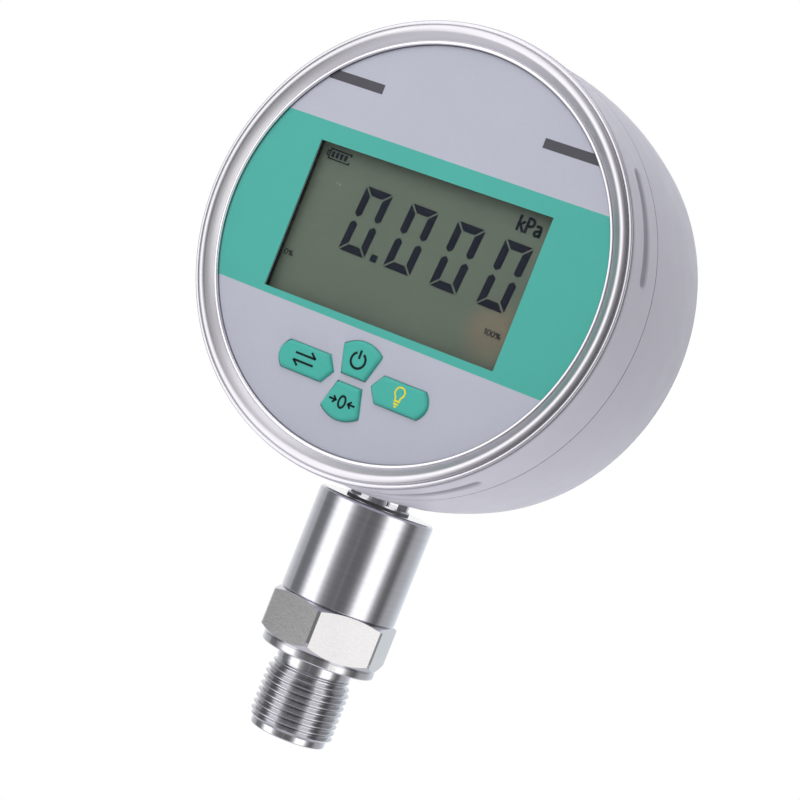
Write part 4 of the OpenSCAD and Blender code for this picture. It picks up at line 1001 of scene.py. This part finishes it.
def world(ambient):
    """White to the camera, a plain level to unpolished surfaces, the studio's boxes to polished ones."""
    made = bpy.data.worlds.new("studio")
    bpy.context.scene.world = made
    made.use_nodes = True
    tree = made.node_tree

    def calc(operation, *values):
        node = tree.nodes.new("ShaderNodeMath")
        node.operation = operation
        for socket, value in zip(node.inputs, values):
            if isinstance(value, bpy.types.NodeSocket):
                tree.links.new(value, socket)
            else:
                socket.default_value = value
        return node.outputs[0]

    def blend(share, a, b):
        node = tree.nodes.new("ShaderNodeMix")
        node.data_type = "RGBA"
        tree.links.new(share, node.inputs["Factor"])
        for socket, value in zip([s for s in node.inputs if s.type == "RGBA"], (a, b)):
            if isinstance(value, bpy.types.NodeSocket):
                tree.links.new(value, socket)
            else:
                socket.default_value = value
        return [s for s in node.outputs if s.type == "RGBA"][0]

    def smooth(value, low, high):
        node = tree.nodes.new("ShaderNodeMapRange")
        node.interpolation_type = "SMOOTHSTEP"
        tree.links.new(value, node.inputs["Value"])
        node.inputs["From Min"].default_value = low
        node.inputs["From Max"].default_value = high
        return node.outputs[0]

    split = tree.nodes.new("ShaderNodeSeparateXYZ")
    tree.links.new(tree.nodes.new("ShaderNodeTexCoord").outputs["Generated"], split.inputs[0])
    turn = calc("DIVIDE", calc("ARCTAN2", split.outputs[1], split.outputs[0]), TURN)
    turn = calc("FRACT", calc("ADD", turn, 1.5 - CAMERA_BEARING / 360))
    ramp = tree.nodes.new("ShaderNodeValToRGB")
    tree.links.new(turn, ramp.inputs[0])
    stops = ramp.color_ramp.elements
    while len(stops) < len(STUDIO):
        stops.new(0.5)
    for stop, (bearing, level, blue) in zip(stops, STUDIO):
        stop.position = (bearing + 180) / 360
        level /= STUDIO_TOP
        stop.color = (level, level * (1 + blue) / 2, level * blue, 1)
    grow = tree.nodes.new("ShaderNodeVectorMath")
    grow.operation = "SCALE"
    grow.inputs["Scale"].default_value = STUDIO_TOP
    tree.links.new(ramp.outputs["Color"], grow.inputs[0])
    rise = split.outputs[2]
    sights = blend(smooth(rise, *WALLS_RISE), grow.outputs[0], WALLS)
    sights = blend(smooth(rise, *OVERHEAD_RISE), sights, OVERHEAD)
    sights = blend(smooth(calc("MULTIPLY", rise, -1.0), *GROUND_FALL), sights, GROUND)
    path = tree.nodes.new("ShaderNodeLightPath")
    clear = calc("MAXIMUM", path.outputs["Is Camera Ray"], path.outputs["Is Transmission Ray"])
    light = blend(clear, (ambient, ambient, ambient, 1), (1, 1, 1, 1))
    light = blend(path.outputs["Is Glossy Ray"], light, sights)
    tree.links.new(light, tree.nodes["Background"].inputs["Color"])


def floor():
    """Plain pale floor well below the object, white to the camera except for the shadow on it."""
    size, height = 6.0, -0.12
    mesh = bpy.data.meshes.new("floor")
    corners = [(x * size, y * size, height) for x, y in ((-1, -1), (1, -1), (1, 1), (-1, 1))]
    mesh.from_pydata(corners, [], [(0, 1, 2, 3)])
    material = bpy.data.materials.new("floor")
    material.use_nodes = True
    tree = material.node_tree
    plain = tree.nodes["Principled BSDF"]
    plain.inputs["Base Color"].default_value = (0.9, 0.9, 0.9, 1)
    plain.inputs["Roughness"].default_value = 0.9
    plain.inputs["Specular IOR Level"].default_value = 0.0
    white = tree.nodes.new("ShaderNodeEmission")
    mix = tree.nodes.new("ShaderNodeMixShader")
    # The white grows to full strength away from the object, where no lamp reaches
    length = tree.nodes.new("ShaderNodeVectorMath")
    length.operation = "LENGTH"
    tree.links.new(tree.nodes.new("ShaderNodeTexCoord").outputs["Object"], length.inputs[0])
    share = tree.nodes.new("ShaderNodeMapRange")
    tree.links.new(length.outputs["Value"], share.inputs["Value"])
    for name, value in (("From Min", 0.1), ("From Max", 0.3), ("To Min", 0.9), ("To Max", 1.0)):
        share.inputs[name].default_value = value
    path = tree.nodes.new("ShaderNodeLightPath")
    total = path.outputs["Is Camera Ray"]
    for name in ("Is Glossy Ray", "Is Transmission Ray"):
        add = tree.nodes.new("ShaderNodeMath")
        add.operation = "MAXIMUM"
        tree.links.new(total, add.inputs[0])
        tree.links.new(path.outputs[name], add.inputs[1])
        total = add.outputs[0]
    seen = tree.nodes.new("ShaderNodeMath")
    seen.operation = "MULTIPLY"
    tree.links.new(total, seen.inputs[0])
    tree.links.new(share.outputs[0], seen.inputs[1])
    tree.links.new(seen.outputs[0], mix.inputs["Fac"])
    tree.links.new(plain.outputs[0], mix.inputs[1])
    tree.links.new(white.outputs[0], mix.inputs[2])
    tree.links.new(mix.outputs[0], tree.nodes["Material Output"].inputs["Surface"])
    mesh.materials.append(material)
    piece = bpy.data.objects.new("floor", mesh)
    piece.visible_glossy = False
    piece.visible_shadow = False
    bpy.context.scene.collection.objects.link(piece)


camera()
world(AMBIENT)
floor()
for name, values in LAMPS.items():
    softbox(name, *values)

bpy.context.scene.view_settings.view_transform = "Standard"
